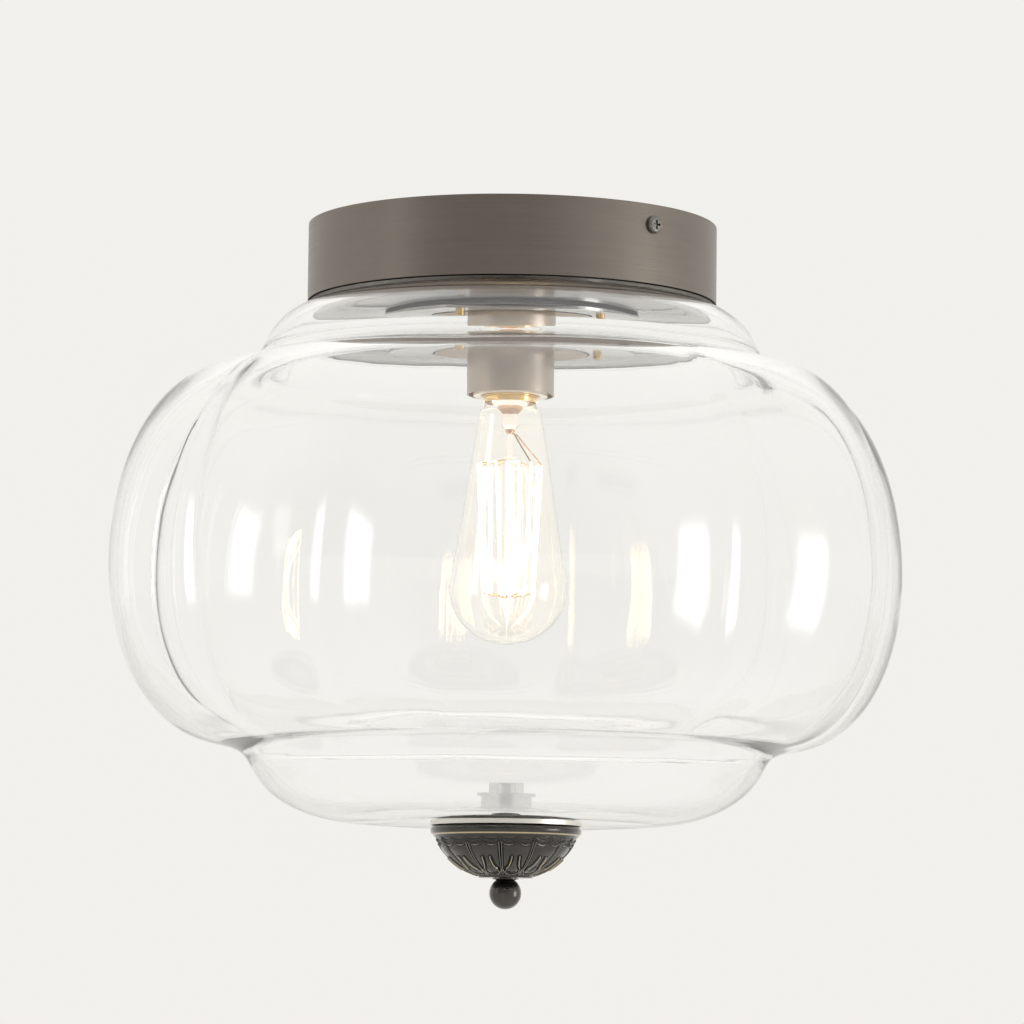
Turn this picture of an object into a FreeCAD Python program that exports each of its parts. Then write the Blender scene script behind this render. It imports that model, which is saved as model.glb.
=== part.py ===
"""Semi flush ceiling light with a lobed clear glass shade.

A spun metal canopy hangs from a bracket on the ceiling box. Three studs and a retainer ring clamp
the glass shade under it, a lamp holder on a threaded tube hangs through the shade's mouth with a
long-filament bulb, and a finial closes the hole in the bottom of the glass.

Millimetres, +Z up. The origin is on the light's axis at the ceiling, so every piece hangs below
Z = 0. An azimuth is an angle about Z in degrees from the front (-Y), positive towards +X.
"""
import FreeCAD, Part
import math
import operator
import os
from types import SimpleNamespace

import Sketcher

SIZES = {
    # Ceiling bracket, a folded steel bar
    "bracket_azimuth": 42.0,
    "bracket_width": 22.0,
    "bracket_thickness": 1.8,
    "bracket_tab_height": 18.0,
    "bracket_wall_gap": 1.2,
    "fixing_circle_diameter": 88.9,
    "fixing_hole_radius": 2.6,
    "wire_hole_radius": 5.6,
    # Canopy pan, spun from sheet
    "pan_radius": 101.6,
    "pan_depth": 39.3,
    "pan_wall": 1.2,
    "pan_floor_recess": 1.7,
    "pan_edge_round": 0.5,
    # Screws through the canopy wall into the bracket tabs
    "side_screw_drop": 10.0,
    "side_screw_shank_radius": 1.95,
    "side_screw_length": 10.0,
    "side_screw_head_radius": 4.35,
    "side_screw_head_height": 2.3,
    "side_screw_head_round": 1.5,
    "side_screw_clearance": 0.15,
    "drive_slot_width": 1.1,
    "drive_slot_length": 4.6,
    "drive_slot_depth": 1.4,
    # Earth screw in the bracket
    "ground_screw_offset": 24.0,
    "ground_screw_shank_radius": 1.7,
    "ground_screw_clearance": 0.05,
    "ground_screw_head_radius": 3.6,
    "ground_screw_head_height": 2.0,
    # Threaded tube that carries the lamp holder
    "nipple_radius": 4.9,
    "nipple_bore_radius": 3.3,
    "nipple_above_nut": 0.6,
    "nipple_into_holder": 10.1,
    "nipple_clearance": 0.2,
    "thread_clearance": 0.07,
    "locknut_across_corners": 16.5,
    "locknut_height": 3.3,
    "nipple_washer_radius": 9.0,
    "nipple_washer_thickness": 0.8,
    # Glass shade
    "glass_wall": 4.0,
    "glass_mouth_radius": 56.0,
    "glass_top_flat_radius": 92.0,
    "glass_neck_round": 33.0,
    "glass_neck_height": 32.0,
    "glass_belly_upper_height": 100.0,
    "glass_belly_lower_height": 89.0,
    "glass_lobe_radius": 198.6,
    "glass_valley_radius": 184.8,
    "glass_lobe_azimuth": 12.5,
    "glass_swell_share": 0.78,
    "glass_bowl_radius": 128.6,
    "glass_bowl_height": 37.0,
    "glass_bowl_flat_radius": 72.0,
    "glass_seat_rise": 2.7,
    "glass_seat_radius": 40.0,
    "glass_finial_hole_radius": 5.2,
    # Gaskets, retainer ring, studs and their nuts
    "upper_gasket_thickness": 1.5,
    "lower_gasket_thickness": 2.0,
    "gasket_mouth_step": 1.0,
    "gasket_width": 6.0,
    "retainer_overlap": 7.3,
    "retainer_thickness": 2.4,
    "retainer_collar_gap": 1.0,
    "retainer_mouth_gap": 1.4,
    "stud_circle_radius": 44.0,
    "stud_azimuth": -35.0,
    "stud_radius": 1.5,
    "stud_clearance": 0.3,
    "stud_head_radius": 3.4,
    "stud_head_height": 1.2,
    "stud_tip_inset": 0.8,
    "nut_radius": 2.3,
    "nut_flange_height": 1.3,
    "nut_groove_depth": 0.45,
    "nut_groove_height": 0.7,
    "nut_height": 5.4,
    "nut_nose_round": 0.6,
    # Lamp holder: collar, cup, porcelain, screw shell and centre contact
    "collar_radius": 38.9,
    "collar_top_radius": 31.0,
    "collar_depth": 10.4,
    "collar_sheet": 1.0,
    "cup_radius": 21.75,
    "cup_wall": 0.8,
    "cup_height": 41.0,
    "cup_shoulder_round": 2.0,
    "porcelain_gap": 2.4,
    "porcelain_top_gap": 0.3,
    "porcelain_proud": 0.7,
    "porcelain_web": 3.2,
    "porcelain_well_radius": 14.9,
    "porcelain_mouth_chamfer": 0.8,
    "shell_recess": 2.9,
    "shell_sheet": 0.45,
    "shell_turns": 5,
    "shell_flange_width": 4.0,
    "strip_width": 3.2,
    "strip_thickness": 0.6,
    "strip_lead_overlap": 0.8,
    "contact_reach": 8.0,
    "contact_drop": 6.8,
    # Bulb with its screw base
    "thread_pitch": 3.63,
    "thread_mid_radius": 12.65,
    "thread_depth": 0.45,
    "thread_mesh_gap": 0.4,
    "base_turns": 4,
    "base_sheet": 0.35,
    "base_skirt_height": 3.0,
    "base_top_radius": 9.6,
    "base_insulator_height": 3.6,
    "base_contact_radius": 4.4,
    "base_contact_height": 1.6,
    "base_contact_round": 0.8,
    "contact_gap": 0.3,
    "bulb_radius": 29.0,
    "bulb_neck_radius": 15.3,
    "bulb_neck_drop": 4.4,
    "bulb_stub_radius": 12.5,
    "bulb_stub_height": 2.2,
    "bulb_length": 126.8,
    "bulb_wall": 0.9,
    # Stem, supports, lead wires and filament inside the bulb
    "stem_flare_gap": 0.3,
    "stem_flare_rise": 2.0,
    "stem_flare_height": 8.0,
    "stem_tube_radius": 4.2,
    "stem_press_drop": 17.0,
    "stem_rod_radius": 1.5,
    "stem_rod_drop": 110.6,
    "stem_button_radius": 3.0,
    "stem_button_height": 3.0,
    "cage_top_drop": 33.4,
    "cage_bottom_drop": 99.6,
    "cage_top_radius": 16.0,
    "cage_bottom_radius": 13.0,
    "cage_hooks": 9,
    "cage_azimuth": 88.0,
    "filament_radius": 0.3,
    "filament_bend_share": 0.8,
    "support_radius": 0.3,
    "support_slant": 3.0,
    "support_gap": 0.2,
    "lead_wire_radius": 0.35,
    # Finial under the glass and the pieces that hold it
    "finial_inner_nut_corners": 17.3,
    "finial_inner_nut_height": 4.5,
    "finial_washer_radius": 14.5,
    "finial_washer_thickness": 1.5,
    "finial_bushing_radius": 12.5,
    "finial_bushing_height": 6.3,
    "finial_bushing_spigot_radius": 4.7,
    "finial_gasket_radius": 34.0,
    "finial_gasket_thickness": 0.8,
    "finial_trim_radius": 37.2,
    "finial_trim_thickness": 2.2,
    "finial_roll_radius": 2.3,
    "finial_step_height": 2.0,
    "finial_dome_radius": 40.1,
    "finial_dome_foot_radius": 13.4,
    "finial_lip_height": 0.9,
    "finial_wall": 2.4,
    "finial_shank_radius": 2.9,
    "finial_shank_clearance": 0.3,
    "finial_shank_short": 0.4,
    "finial_knob_gap": 0.3,
    "finial_neck_radius": 6.4,
    "finial_waist_radius": 4.6,
    "finial_ball_radius": 7.9,
    "finial_ball_drop": 7.2,
    # Terminal block and the two leads of the lamp holder
    "lead_radius": 1.0,
    "lead_spacing": 3.2,
    "lead_hole_radius": 1.2,
    "lead_bend_radius": 9.5,
    "lead_fan_angle": 8.0,
    "lead_into_block": 6.0,
    "block_start": 26.0,
    "block_length": 18.0,
    "block_width": 22.0,
    "block_height": 18.0,
    "block_entry_radius": 1.6,
    "block_entry_depth": 8.0,
    "block_entry_spacing": 11.3,
    "block_screw_radius": 1.8,
    "block_screw_inset": 4.5,
    "block_screw_height": 2.6,
    "block_screw_clearance": 0.2,
    # How far a cutting tool runs past the piece it cuts
    "overrun": 1.0,
}

STUD_COUNT = 3
LOBE_COUNT = 8
LOBE_STEPS = 6
FULL_TURN = 360.0

doc = FreeCAD.newDocument("CeilingLight")
size = SimpleNamespace()


class Size:
    """A length, angle or count: its value now and its formula in the names of the sheet."""

    def __init__(self, value, formula):
        self.value = value
        self.formula = formula

    def __add__(self, other):
        return joined(self, "+", other)

    def __radd__(self, other):
        return joined(other, "+", self)

    def __sub__(self, other):
        return joined(self, "-", other)

    def __rsub__(self, other):
        return joined(other, "-", self)

    def __mul__(self, other):
        return joined(self, "*", other)

    def __rmul__(self, other):
        return joined(other, "*", self)

    def __truediv__(self, other):
        return joined(self, "/", other)

    def __neg__(self):
        return joined(0, "-", self)


SIGNS = {"+": operator.add, "-": operator.sub, "*": operator.mul, "/": operator.truediv}


def sized(number):
    """A Size as it is, or a plain number as a Size."""
    return number if isinstance(number, Size) else Size(float(number), str(number))


def joined(left, sign, right):
    """Two sizes joined by an arithmetic sign, both as a value and as a formula."""
    left, right = sized(left), sized(right)
    value = SIGNS[sign](left.value, right.value)
    return Size(value, f"({left.formula} {sign} {right.formula})")


def root(square):
    """The square root of a size."""
    return Size(math.sqrt(square.value), f"sqrt({square.formula})")


def leg(long_side, other_side):
    """The other short side of a right-angled triangle."""
    return root(long_side * long_side - other_side * other_side)


def write_sheet():
    """Puts every size in a cell under its own name and hands the names to the functions below."""
    sheet = doc.addObject("Spreadsheet::Sheet", "Sizes")
    for row, (name, value) in enumerate(SIZES.items(), 1):
        sheet.set(f"A{row}", name)
        sheet.set(f"B{row}", str(value))
        sheet.setAlias(f"B{row}", name)
        setattr(size, name, Size(float(value), f"Sizes.{name}"))
    doc.recompute()


# Small makers that bind a piece's sizes to the sheet


def bind(piece, **sizes):
    """Ties each named property of a piece to the formula of a size."""
    for name, value in sizes.items():
        piece.setExpression(name, sized(value).formula)
    return piece


def put(piece, x=0, y=0, z=0):
    """Ties a piece's place to three sizes."""
    for axis, value in (("x", x), ("y", y), ("z", z)):
        piece.setExpression(f"Placement.Base.{axis}", sized(value).formula)
    return piece


def labelled(piece, name):
    piece.Label = name
    return piece


def rod(name, radius, top, bottom, x=0, y=0):
    """An upright round bar from bottom to top."""
    top, bottom = sized(top), sized(bottom)
    piece = bind(doc.addObject("Part::Cylinder", name), Radius=radius, Height=top - bottom)
    return put(piece, x, y, bottom)


def slab(name, low, high):
    """A block between two corners, each given as x, y, z."""
    spans = [sized(b) - a for a, b in zip(low, high)]
    piece = bind(doc.addObject("Part::Box", name), Length=spans[0], Width=spans[1], Height=spans[2])
    return put(piece, *low)


def hexagon(name, across_corners, top, bottom):
    """An upright six-sided bar."""
    piece = doc.addObject("Part::Prism", name)
    bind(piece, Circumradius=across_corners / 2, Height=top - bottom)
    return put(piece, z=bottom)


def fused(name, pieces):
    piece = doc.addObject("Part::MultiFuse", name)
    piece.Shapes = pieces
    return piece


def cut(name, base, tools):
    """A base with one or more tools taken away."""
    piece = doc.addObject("Part::Cut", name)
    piece.Base = base
    piece.Tool = tools[0] if len(tools) == 1 else fused(f"{name}_tools", tools)
    return piece


def group(name, members):
    """Identical pieces that share one node, each still a solid of its own."""
    piece = doc.addObject("Part::Compound", name)
    piece.Links = members
    return piece


def ring(name, outer, inner, top, bottom):
    """A flat ring or tube."""
    hole = rod(f"{name}_hole", inner, top + size.overrun, bottom - size.overrun)
    return cut(name, rod(f"{name}_blank", outer, top, bottom), [hole])


def direction(azimuth):
    """The unit vector of an azimuth in degrees."""
    turn = math.radians(azimuth)
    return FreeCAD.Vector(math.sin(turn), -math.cos(turn), 0)


def towards(azimuth, radius=0.0, height=0.0):
    """A placement whose own +X points along an azimuth, moved out along it and up."""
    place = direction(azimuth) * radius + FreeCAD.Vector(0, 0, height)
    turned_to = FreeCAD.Rotation(FreeCAD.Vector(1, 0, 0), direction(azimuth))
    return FreeCAD.Placement(place, turned_to)


def arc_centre(start, end, radius):
    """The centre of an arc under a half circle that bends left for a positive radius."""
    along = end - start
    left = FreeCAD.Vector(-along.y, along.x, 0).normalize()
    offset = math.sqrt(radius * radius - along.Length * along.Length / 4)
    return (start + end) * 0.5 + left * math.copysign(offset, radius)


def draw_edge(sketch, start, end, radius):
    """Draws one edge of an outline and says which of its ends is its start."""
    if radius is None:
        sketch.addGeometry(Part.LineSegment(start, end), False)
        return 1, 2
    centre = arc_centre(start, end, radius.value)
    first, last = (start, end) if radius.value > 0 else (end, start)
    circle = Part.Circle(centre, FreeCAD.Vector(0, 0, 1), abs(radius.value))
    turns = [math.atan2(p.y - centre.y, p.x - centre.x) for p in (first, last)]
    sketch.addGeometry(Part.ArcOfCircle(circle, *turns), False)
    return (1, 2) if radius.value > 0 else (2, 1)


def constrain(sketch, kind, where, amount):
    """Adds a dimension to a sketch and ties it to a size."""
    index = sketch.addConstraint(Sketcher.Constraint(kind, *where, amount.value))
    sketch.setExpression(f"Constraints[{index}]", amount.formula)


def draw_outline(sketch, outline):
    """Draws a closed outline of (radius, height) corners; a third value bends the edge that follows."""
    corners = [(sized(c[0]), sized(c[1])) for c in outline]
    points = [FreeCAD.Vector(r.value, z.value, 0) for r, z in corners]
    bends = [c[2] if len(c) > 2 else None for c in outline]
    count = len(points)
    ends = [draw_edge(sketch, points[i], points[(i + 1) % count], bends[i]) for i in range(count)]
    for i in range(count):
        after = (i + 1) % count
        sketch.addConstraint(Sketcher.Constraint("Coincident", i, ends[i][1], after, ends[after][0]))
    for i, (r, z) in enumerate(corners):
        constrain(sketch, "DistanceX", (-1, 1, i, ends[i][0]), r)
        constrain(sketch, "DistanceY", (-1, 1, i, ends[i][0]), z)
        if bends[i] is not None:
            across = bends[i] if bends[i].value > 0 else -bends[i]
            constrain(sketch, "Radius", (i,), across)


def turned(name, outline):
    """A piece turned about the light's axis from a half outline."""
    body = doc.addObject("PartDesign::Body", name)
    plane = next(f for f in body.Origin.OriginFeatures if f.Role == "XZ_Plane")
    sketch = body.newObject("Sketcher::SketchObject", f"{name}_outline")
    sketch.AttachmentSupport = [(plane, "")]
    sketch.MapMode = "FlatFace"
    draw_outline(sketch, outline)
    feature = body.newObject("PartDesign::Revolution", f"{name}_turning")
    feature.Profile = sketch
    feature.ReferenceAxis = (sketch, ["V_Axis"])
    feature.Angle = FULL_TURN
    body.Tip = feature
    doc.recompute()
    return body


def shaped(name, shape):
    """A piece whose shape is worked out here from the sizes in the sheet."""
    piece = doc.addObject("Part::Feature", name)
    piece.Shape = shape
    return piece


def level_sizes():
    """Heights that several pieces share, from the ceiling down."""
    at = SimpleNamespace()
    at.lip = -size.pan_depth
    at.floor_under = at.lip + size.pan_floor_recess
    at.floor_top = at.floor_under + size.pan_wall
    at.glass_top = at.floor_under - size.upper_gasket_thickness
    at.flange_under = at.glass_top - size.glass_wall
    at.retainer_top = at.flange_under - size.lower_gasket_thickness
    at.retainer_under = at.retainer_top - size.retainer_thickness
    at.cup_top = at.floor_under - size.collar_sheet
    at.cup_foot = at.cup_top - size.cup_height
    at.porcelain_top = at.cup_top - size.cup_wall - size.porcelain_top_gap
    at.porcelain_foot = at.cup_foot - size.porcelain_proud
    at.nipple_foot = at.porcelain_top - size.nipple_into_holder
    at.well_top = at.nipple_foot - size.porcelain_web
    at.shell_foot = at.porcelain_foot + size.shell_recess
    at.thread_foot = at.shell_foot - size.thread_pitch
    at.base_foot = at.thread_foot - size.base_skirt_height
    at.locknut_foot = at.floor_top + size.nipple_washer_thickness
    at.nipple_top = at.locknut_foot + size.locknut_height + size.nipple_above_nut
    at.contact_under = at.well_top - size.contact_drop
    at.base_top = at.contact_under - size.contact_gap
    at.crease = at.glass_top - size.glass_neck_height
    at.belly_middle = at.crease - size.glass_belly_upper_height
    at.bowl_crease = at.belly_middle - size.glass_belly_lower_height
    at.bowl_foot = at.bowl_crease - size.glass_bowl_height
    at.seat_under = at.bowl_foot + size.glass_seat_rise
    at.seat_top = at.seat_under + size.glass_wall
    at.gasket_under = at.seat_under - size.finial_gasket_thickness
    at.trim_under = at.gasket_under - size.finial_trim_thickness
    at.roll_under = at.trim_under - 2 * size.finial_roll_radius
    at.dome_top = at.roll_under - size.finial_step_height
    dome_top_radius = size.finial_trim_radius - size.finial_roll_radius
    at.dome_centre = at.dome_top + leg(size.finial_dome_radius, dome_top_radius)
    at.dome_foot = at.dome_centre - leg(size.finial_dome_radius, size.finial_dome_foot_radius)
    at.cap_foot = at.dome_foot - size.finial_lip_height
    at.knob_top = at.cap_foot - size.finial_knob_gap
    at.ball_centre = at.knob_top - size.finial_ball_drop
    at.bushing_top = at.seat_top + size.finial_bushing_height
    at.washer_top = at.bushing_top + size.finial_washer_thickness
    at.inner_nut_top = at.washer_top + size.finial_inner_nut_height
    at.lead_level = at.nipple_top + size.lead_bend_radius - size.nipple_above_nut
    at.block_top = at.floor_top + size.block_height
    return at


# Ceiling bracket and what fastens to it


def bracket_reach():
    """How far the outer face of a bracket tab stands from the axis."""
    return size.pan_radius - size.pan_wall - size.bracket_wall_gap


def mounting_bracket():
    """A steel bar across the ceiling box with two tabs folded down inside the canopy wall."""
    reach, half = bracket_reach(), size.bracket_width / 2
    low = -size.bracket_thickness
    bar = slab("bracket_bar", (-reach, -half, low), (reach, half, 0))
    tabs = []
    for name, inner, outer in (("right", reach - size.bracket_thickness, reach),
                               ("left", -reach, size.bracket_thickness - reach)):
        tabs.append(slab(f"bracket_tab_{name}", (inner, -half, -size.bracket_tab_height),
                         (outer, half, 0)))
    above, below = size.overrun, low - size.overrun
    holes = [rod("bracket_wire_hole", size.wire_hole_radius, above, below)]
    for name, side in (("right", 1), ("left", -1)):
        place = side * size.fixing_circle_diameter / 2
        holes.append(rod(f"bracket_fixing_hole_{name}", size.fixing_hole_radius, above, below, place))
    ground = size.ground_screw_shank_radius + size.ground_screw_clearance
    holes.append(rod("bracket_ground_hole", ground, above, below, size.ground_screw_offset))
    holes.append(bracket_screw_holes(reach))
    piece = cut("mounting_bracket", fused("bracket_blank", [bar, *tabs]), holes)
    piece.Placement = towards(size.bracket_azimuth.value)
    return piece


def bracket_screw_holes(reach):
    """One long bar along the bracket that drills both tabs for the side screws."""
    drill = doc.addObject("Part::Cylinder", "bracket_screw_holes")
    span = 2 * (reach + size.overrun)
    bind(drill, Radius=size.side_screw_shank_radius + size.side_screw_clearance, Height=span)
    drill.Placement = FreeCAD.Placement(FreeCAD.Vector(), FreeCAD.Rotation(FreeCAD.Vector(0, 1, 0), 90))
    return put(drill, x=-(reach + size.overrun), z=-size.side_screw_drop)


def drive_cross(name, face):
    """Two crossed slots of a driver recess, sunk from a face at the given height."""
    half_length, half_width = size.drive_slot_length / 2, size.drive_slot_width / 2
    low, high = face - size.drive_slot_depth, face + size.overrun
    long_slot = slab(f"{name}_slot_a", (-half_length, -half_width, low), (half_length, half_width, high))
    cross_slot = slab(f"{name}_slot_b", (-half_width, -half_length, low), (half_width, half_length, high))
    return [long_slot, cross_slot]


def side_screw(name, azimuth):
    """A pan head screw along its own +Z, head outwards, laid along an azimuth."""
    head, shank = size.side_screw_head_radius, size.side_screw_shank_radius
    height, corner = size.side_screw_head_height, size.side_screw_head_round
    screw = turned(f"{name}_turned", [
        (0, height), (0, -size.side_screw_length), (shank, -size.side_screw_length), (shank, 0),
        (head, 0), (head, height - corner, corner), (head - corner, height)])
    piece = cut(name, screw, drive_cross(name, height))
    lay_down = FreeCAD.Placement(FreeCAD.Vector(), FreeCAD.Rotation(FreeCAD.Vector(0, 1, 0), 90))
    place = towards(azimuth, size.pan_radius.value, -size.side_screw_drop.value)
    piece.Placement = place.multiply(lay_down)
    return piece


def canopy_side_screws():
    """The two screws that hold the canopy to the bracket tabs."""
    front = size.bracket_azimuth.value
    screws = [side_screw(f"side_screw_{i}", front + i * FULL_TURN / 2) for i in range(2)]
    return group("canopy_side_screws", screws)


def ground_screw():
    """The earth screw, head down, in its tapped hole in the bracket."""
    under = -size.bracket_thickness
    foot = under - size.ground_screw_head_height
    shank = rod("ground_screw_shank", size.ground_screw_shank_radius, 0, under)
    head = rod("ground_screw_head", size.ground_screw_head_radius, under, foot)
    half_length, half_width = size.ground_screw_head_radius + size.overrun, size.drive_slot_width / 2
    slot = slab("ground_screw_slot", (-half_length, -half_width, foot - size.overrun),
                (half_length, half_width, foot + size.ground_screw_head_height / 2))
    piece = cut("ground_screw", fused("ground_screw_blank", [shank, head]), [slot])
    piece.Placement = towards(size.bracket_azimuth.value, size.ground_screw_offset.value)
    return piece


# Canopy pan


def canopy_pan():
    """The spun canopy: a round wall with a floor set up inside its lower lip."""
    outer, wall, edge = size.pan_radius, size.pan_wall, size.pan_edge_round
    inner, bore = outer - wall, size.nipple_radius + size.nipple_clearance
    pan = turned("canopy_pan_turned", [
        (bore, at.floor_under), (inner, at.floor_under), (inner, at.lip + edge, edge),
        (inner + edge, at.lip), (outer - edge, at.lip, edge), (outer, at.lip + edge),
        (outer, 0), (inner, 0), (inner, at.floor_top), (bore, at.floor_top)])
    holes = []
    for i in range(2):
        azimuth = size.bracket_azimuth.value + i * FULL_TURN / 2
        holes.append(wall_drill(f"canopy_screw_hole_{i}", azimuth))
    for i, (x, y) in enumerate(stud_places()):
        radius = size.stud_radius + size.stud_clearance
        holes.append(rod(f"canopy_stud_hole_{i}", radius, at.floor_top + size.overrun,
                         at.floor_under - size.overrun, x, y))
    return cut("canopy_pan", pan, holes)


def wall_drill(name, azimuth):
    """A drill through the canopy wall for a side screw."""
    drill = doc.addObject("Part::Cylinder", name)
    bind(drill, Radius=size.side_screw_shank_radius + 2 * size.side_screw_clearance,
         Height=size.pan_wall + 2 * size.overrun)
    along = FreeCAD.Placement(FreeCAD.Vector(), FreeCAD.Rotation(FreeCAD.Vector(0, 1, 0), 90))
    start = size.pan_radius - size.pan_wall - size.overrun
    drill.Placement = towards(azimuth, start.value, -size.side_screw_drop.value).multiply(along)
    return drill


def stud_places():
    """Where the three studs stand: x and y of each, tied to the sheet."""
    places = []
    for i in range(STUD_COUNT):
        turn = size.stud_azimuth + i * FULL_TURN / STUD_COUNT
        across = Size(math.sin(math.radians(turn.value)), f"sin({turn.formula})")
        along = Size(math.cos(math.radians(turn.value)), f"cos({turn.formula})")
        places.append((size.stud_circle_radius * across, -(size.stud_circle_radius * along)))
    return places


# Threaded tube and its nut


def threaded_nipple():
    """The hollow threaded tube that carries the lamp holder and passes its leads."""
    return ring("threaded_nipple", size.nipple_radius, size.nipple_bore_radius,
                at.nipple_top, at.nipple_foot)


def nipple_locknut():
    """The nut that pulls the tube up against the canopy floor."""
    top = at.locknut_foot + size.locknut_height
    nut = hexagon("locknut_blank", size.locknut_across_corners, top, at.locknut_foot)
    hole = rod("locknut_hole", size.nipple_radius + size.thread_clearance, top + size.overrun,
               at.locknut_foot - size.overrun)
    return cut("nipple_locknut", nut, [hole])


def nipple_washer():
    """The washer under the locknut."""
    return ring("nipple_washer", size.nipple_washer_radius, size.nipple_radius + size.nipple_clearance,
                at.locknut_foot, at.floor_top)


# Glass shade


def lobed_ring(apex, valley, height):
    """A closed wire of equal arcs, one to each lobe; equal radii make it a circle."""
    half = math.pi / LOBE_COUNT
    front = math.radians(size.glass_lobe_azimuth.value) - math.pi / 2
    arcs = []
    for lobe in range(LOBE_COUNT):
        middle = front + 2 * half * lobe
        stops = ((middle - half, valley), (middle, apex), (middle + half, valley))
        points = [FreeCAD.Vector(r * math.cos(t), r * math.sin(t), height) for t, r in stops]
        arcs.append(Part.Arc(*points).toShape())
    return Part.Wire(arcs)


def belly(skin):
    """The lobed middle of the shade, shrunk by a skin thickness, between its two creases."""
    middle = at.belly_middle.value
    top, foot = at.crease.value - skin, at.bowl_crease.value + skin
    apex, valley = size.glass_lobe_radius.value - skin, size.glass_valley_radius.value - skin
    wires = []
    for step in range(-LOBE_STEPS, LOBE_STEPS + 1):
        turn = step / LOBE_STEPS * math.pi / 2
        crease_radius = neck_radius(skin) if step > 0 else size.glass_bowl_radius.value - skin
        height = middle + math.sin(turn) * (top - middle if step > 0 else middle - foot)
        swell = math.cos(turn) ** size.glass_swell_share.value if abs(step) < LOBE_STEPS else 0
        wires.append(lobed_ring(crease_radius + (apex - crease_radius) * swell,
                                crease_radius + (valley - crease_radius) * swell, height))
    return Part.makeLoft(wires, True, False)


def neck_radius(skin):
    """The radius of the shade where its neck meets the belly."""
    round_radius = size.glass_neck_round.value - skin
    centre = at.glass_top.value - size.glass_neck_round.value
    drop = at.crease.value - skin - centre
    return size.glass_top_flat_radius.value + math.sqrt(round_radius**2 - drop**2)


def turned_solid(edges):
    """A solid turned about the Z axis from edges that start and end on it."""
    face = Part.Face(Part.Wire(edges))
    return face.revolve(FreeCAD.Vector(), FreeCAD.Vector(0, 0, 1), FULL_TURN)


def straight(*points):
    """Straight edges through (radius, height) points."""
    places = [FreeCAD.Vector(r, 0, z) for r, z in points]
    return [Part.makeLine(a, b) for a, b in zip(places, places[1:])]


def neck(skin):
    """The shade's flat top and rounded neck, shrunk by a skin thickness."""
    flat, full = size.glass_top_flat_radius.value, size.glass_neck_round.value
    centre, top = at.glass_top.value - full, at.glass_top.value - skin
    foot, side = at.crease.value - skin, neck_radius(skin)
    slope = (math.pi / 2 + math.atan2(foot - centre, side - flat)) / 2
    bend = full - skin
    middle = FreeCAD.Vector(flat + bend * math.cos(slope), 0, centre + bend * math.sin(slope))
    arc = Part.Arc(FreeCAD.Vector(flat, 0, top), middle, FreeCAD.Vector(side, 0, foot)).toShape()
    edges = straight((side, foot), (0, foot), (0, top), (flat, top))
    return turned_solid(Part.__sortEdges__([arc, *edges]))


def quarter_ellipse(centre_radius, centre_height, across, down):
    """The lower outer quarter of an ellipse, as one edge."""
    half_way = math.sqrt(1 / 2)
    stops = (FreeCAD.Vector(1, 0, 0), FreeCAD.Vector(half_way, 0, -half_way), FreeCAD.Vector(0, 0, -1))
    quarter = Part.Arc(*stops).toShape()
    stretch = FreeCAD.Matrix()
    stretch.scale(across, 1, down)
    stretch.move(centre_radius, 0, centre_height)
    return quarter.transformGeometry(stretch)


def bowl(skin):
    """The shade's bowl below the belly, with a raised seat for the finial."""
    crease, side = at.bowl_crease.value + skin, size.glass_bowl_radius.value - skin
    flat, foot = size.glass_bowl_flat_radius.value, at.bowl_foot.value + skin
    seat, seat_level = size.glass_seat_radius.value, at.seat_under.value + skin
    curve = quarter_ellipse(flat, crease, side - flat, crease - foot)
    edges = straight((flat, foot), (seat, seat_level), (0, seat_level), (0, crease), (side, crease))
    return turned_solid(Part.__sortEdges__([curve, *edges]))


def glass_shade():
    """The blown shade: eight lobes between a rounded neck and a plain bowl, one even wall."""
    def whole(skin):
        return neck(skin).fuse([belly(skin), bowl(skin)])

    wall = size.glass_wall.value
    overrun = size.overrun.value
    mouth = Part.makeCylinder(size.glass_mouth_radius.value, wall + 2 * overrun,
                              FreeCAD.Vector(0, 0, at.flange_under.value - overrun))
    hole = Part.makeCylinder(size.glass_finial_hole_radius.value, wall + 2 * overrun,
                             FreeCAD.Vector(0, 0, at.seat_under.value - overrun))
    shade = whole(0).cut([whole(wall), mouth, hole]).removeSplitter()
    return shaped("glass_shade", shade)


# Gaskets, retainer ring, studs and nuts


def upper_gasket():
    """The soft ring between the canopy floor and the glass."""
    inner = size.glass_mouth_radius + size.gasket_mouth_step
    return ring("upper_gasket", inner + size.gasket_width, inner, at.floor_under, at.glass_top)


def lower_gasket():
    """The soft ring between the glass and the retainer ring."""
    inner = size.glass_mouth_radius + size.gasket_mouth_step
    return ring("lower_gasket", inner + size.gasket_width, inner, at.flange_under, at.retainer_top)


def retainer_ring():
    """The plate that clamps the glass, with two flats so that it passes the mouth edge on."""
    radius = size.glass_mouth_radius + size.retainer_overlap
    half = size.glass_mouth_radius - size.retainer_mouth_gap
    disc = rod("retainer_disc", radius, at.retainer_top, at.retainer_under)
    holes = [rod("retainer_hole", size.collar_radius + size.retainer_collar_gap,
                 at.retainer_top + size.overrun, at.retainer_under - size.overrun)]
    wide = radius + size.overrun
    for name, inner, outer in (("front", -wide, -half), ("back", half, wide)):
        holes.append(slab(f"retainer_flat_{name}", (-wide, inner, at.retainer_under - size.overrun),
                          (wide, outer, at.retainer_top + size.overrun)))
    for i, (x, y) in enumerate(stud_places()):
        holes.append(rod(f"retainer_stud_hole_{i}", size.stud_radius + size.stud_clearance,
                         at.retainer_top + size.overrun, at.retainer_under - size.overrun, x, y))
    return cut("retainer_ring", disc, holes)


def nut_foot():
    return at.retainer_under - size.nut_height


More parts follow.
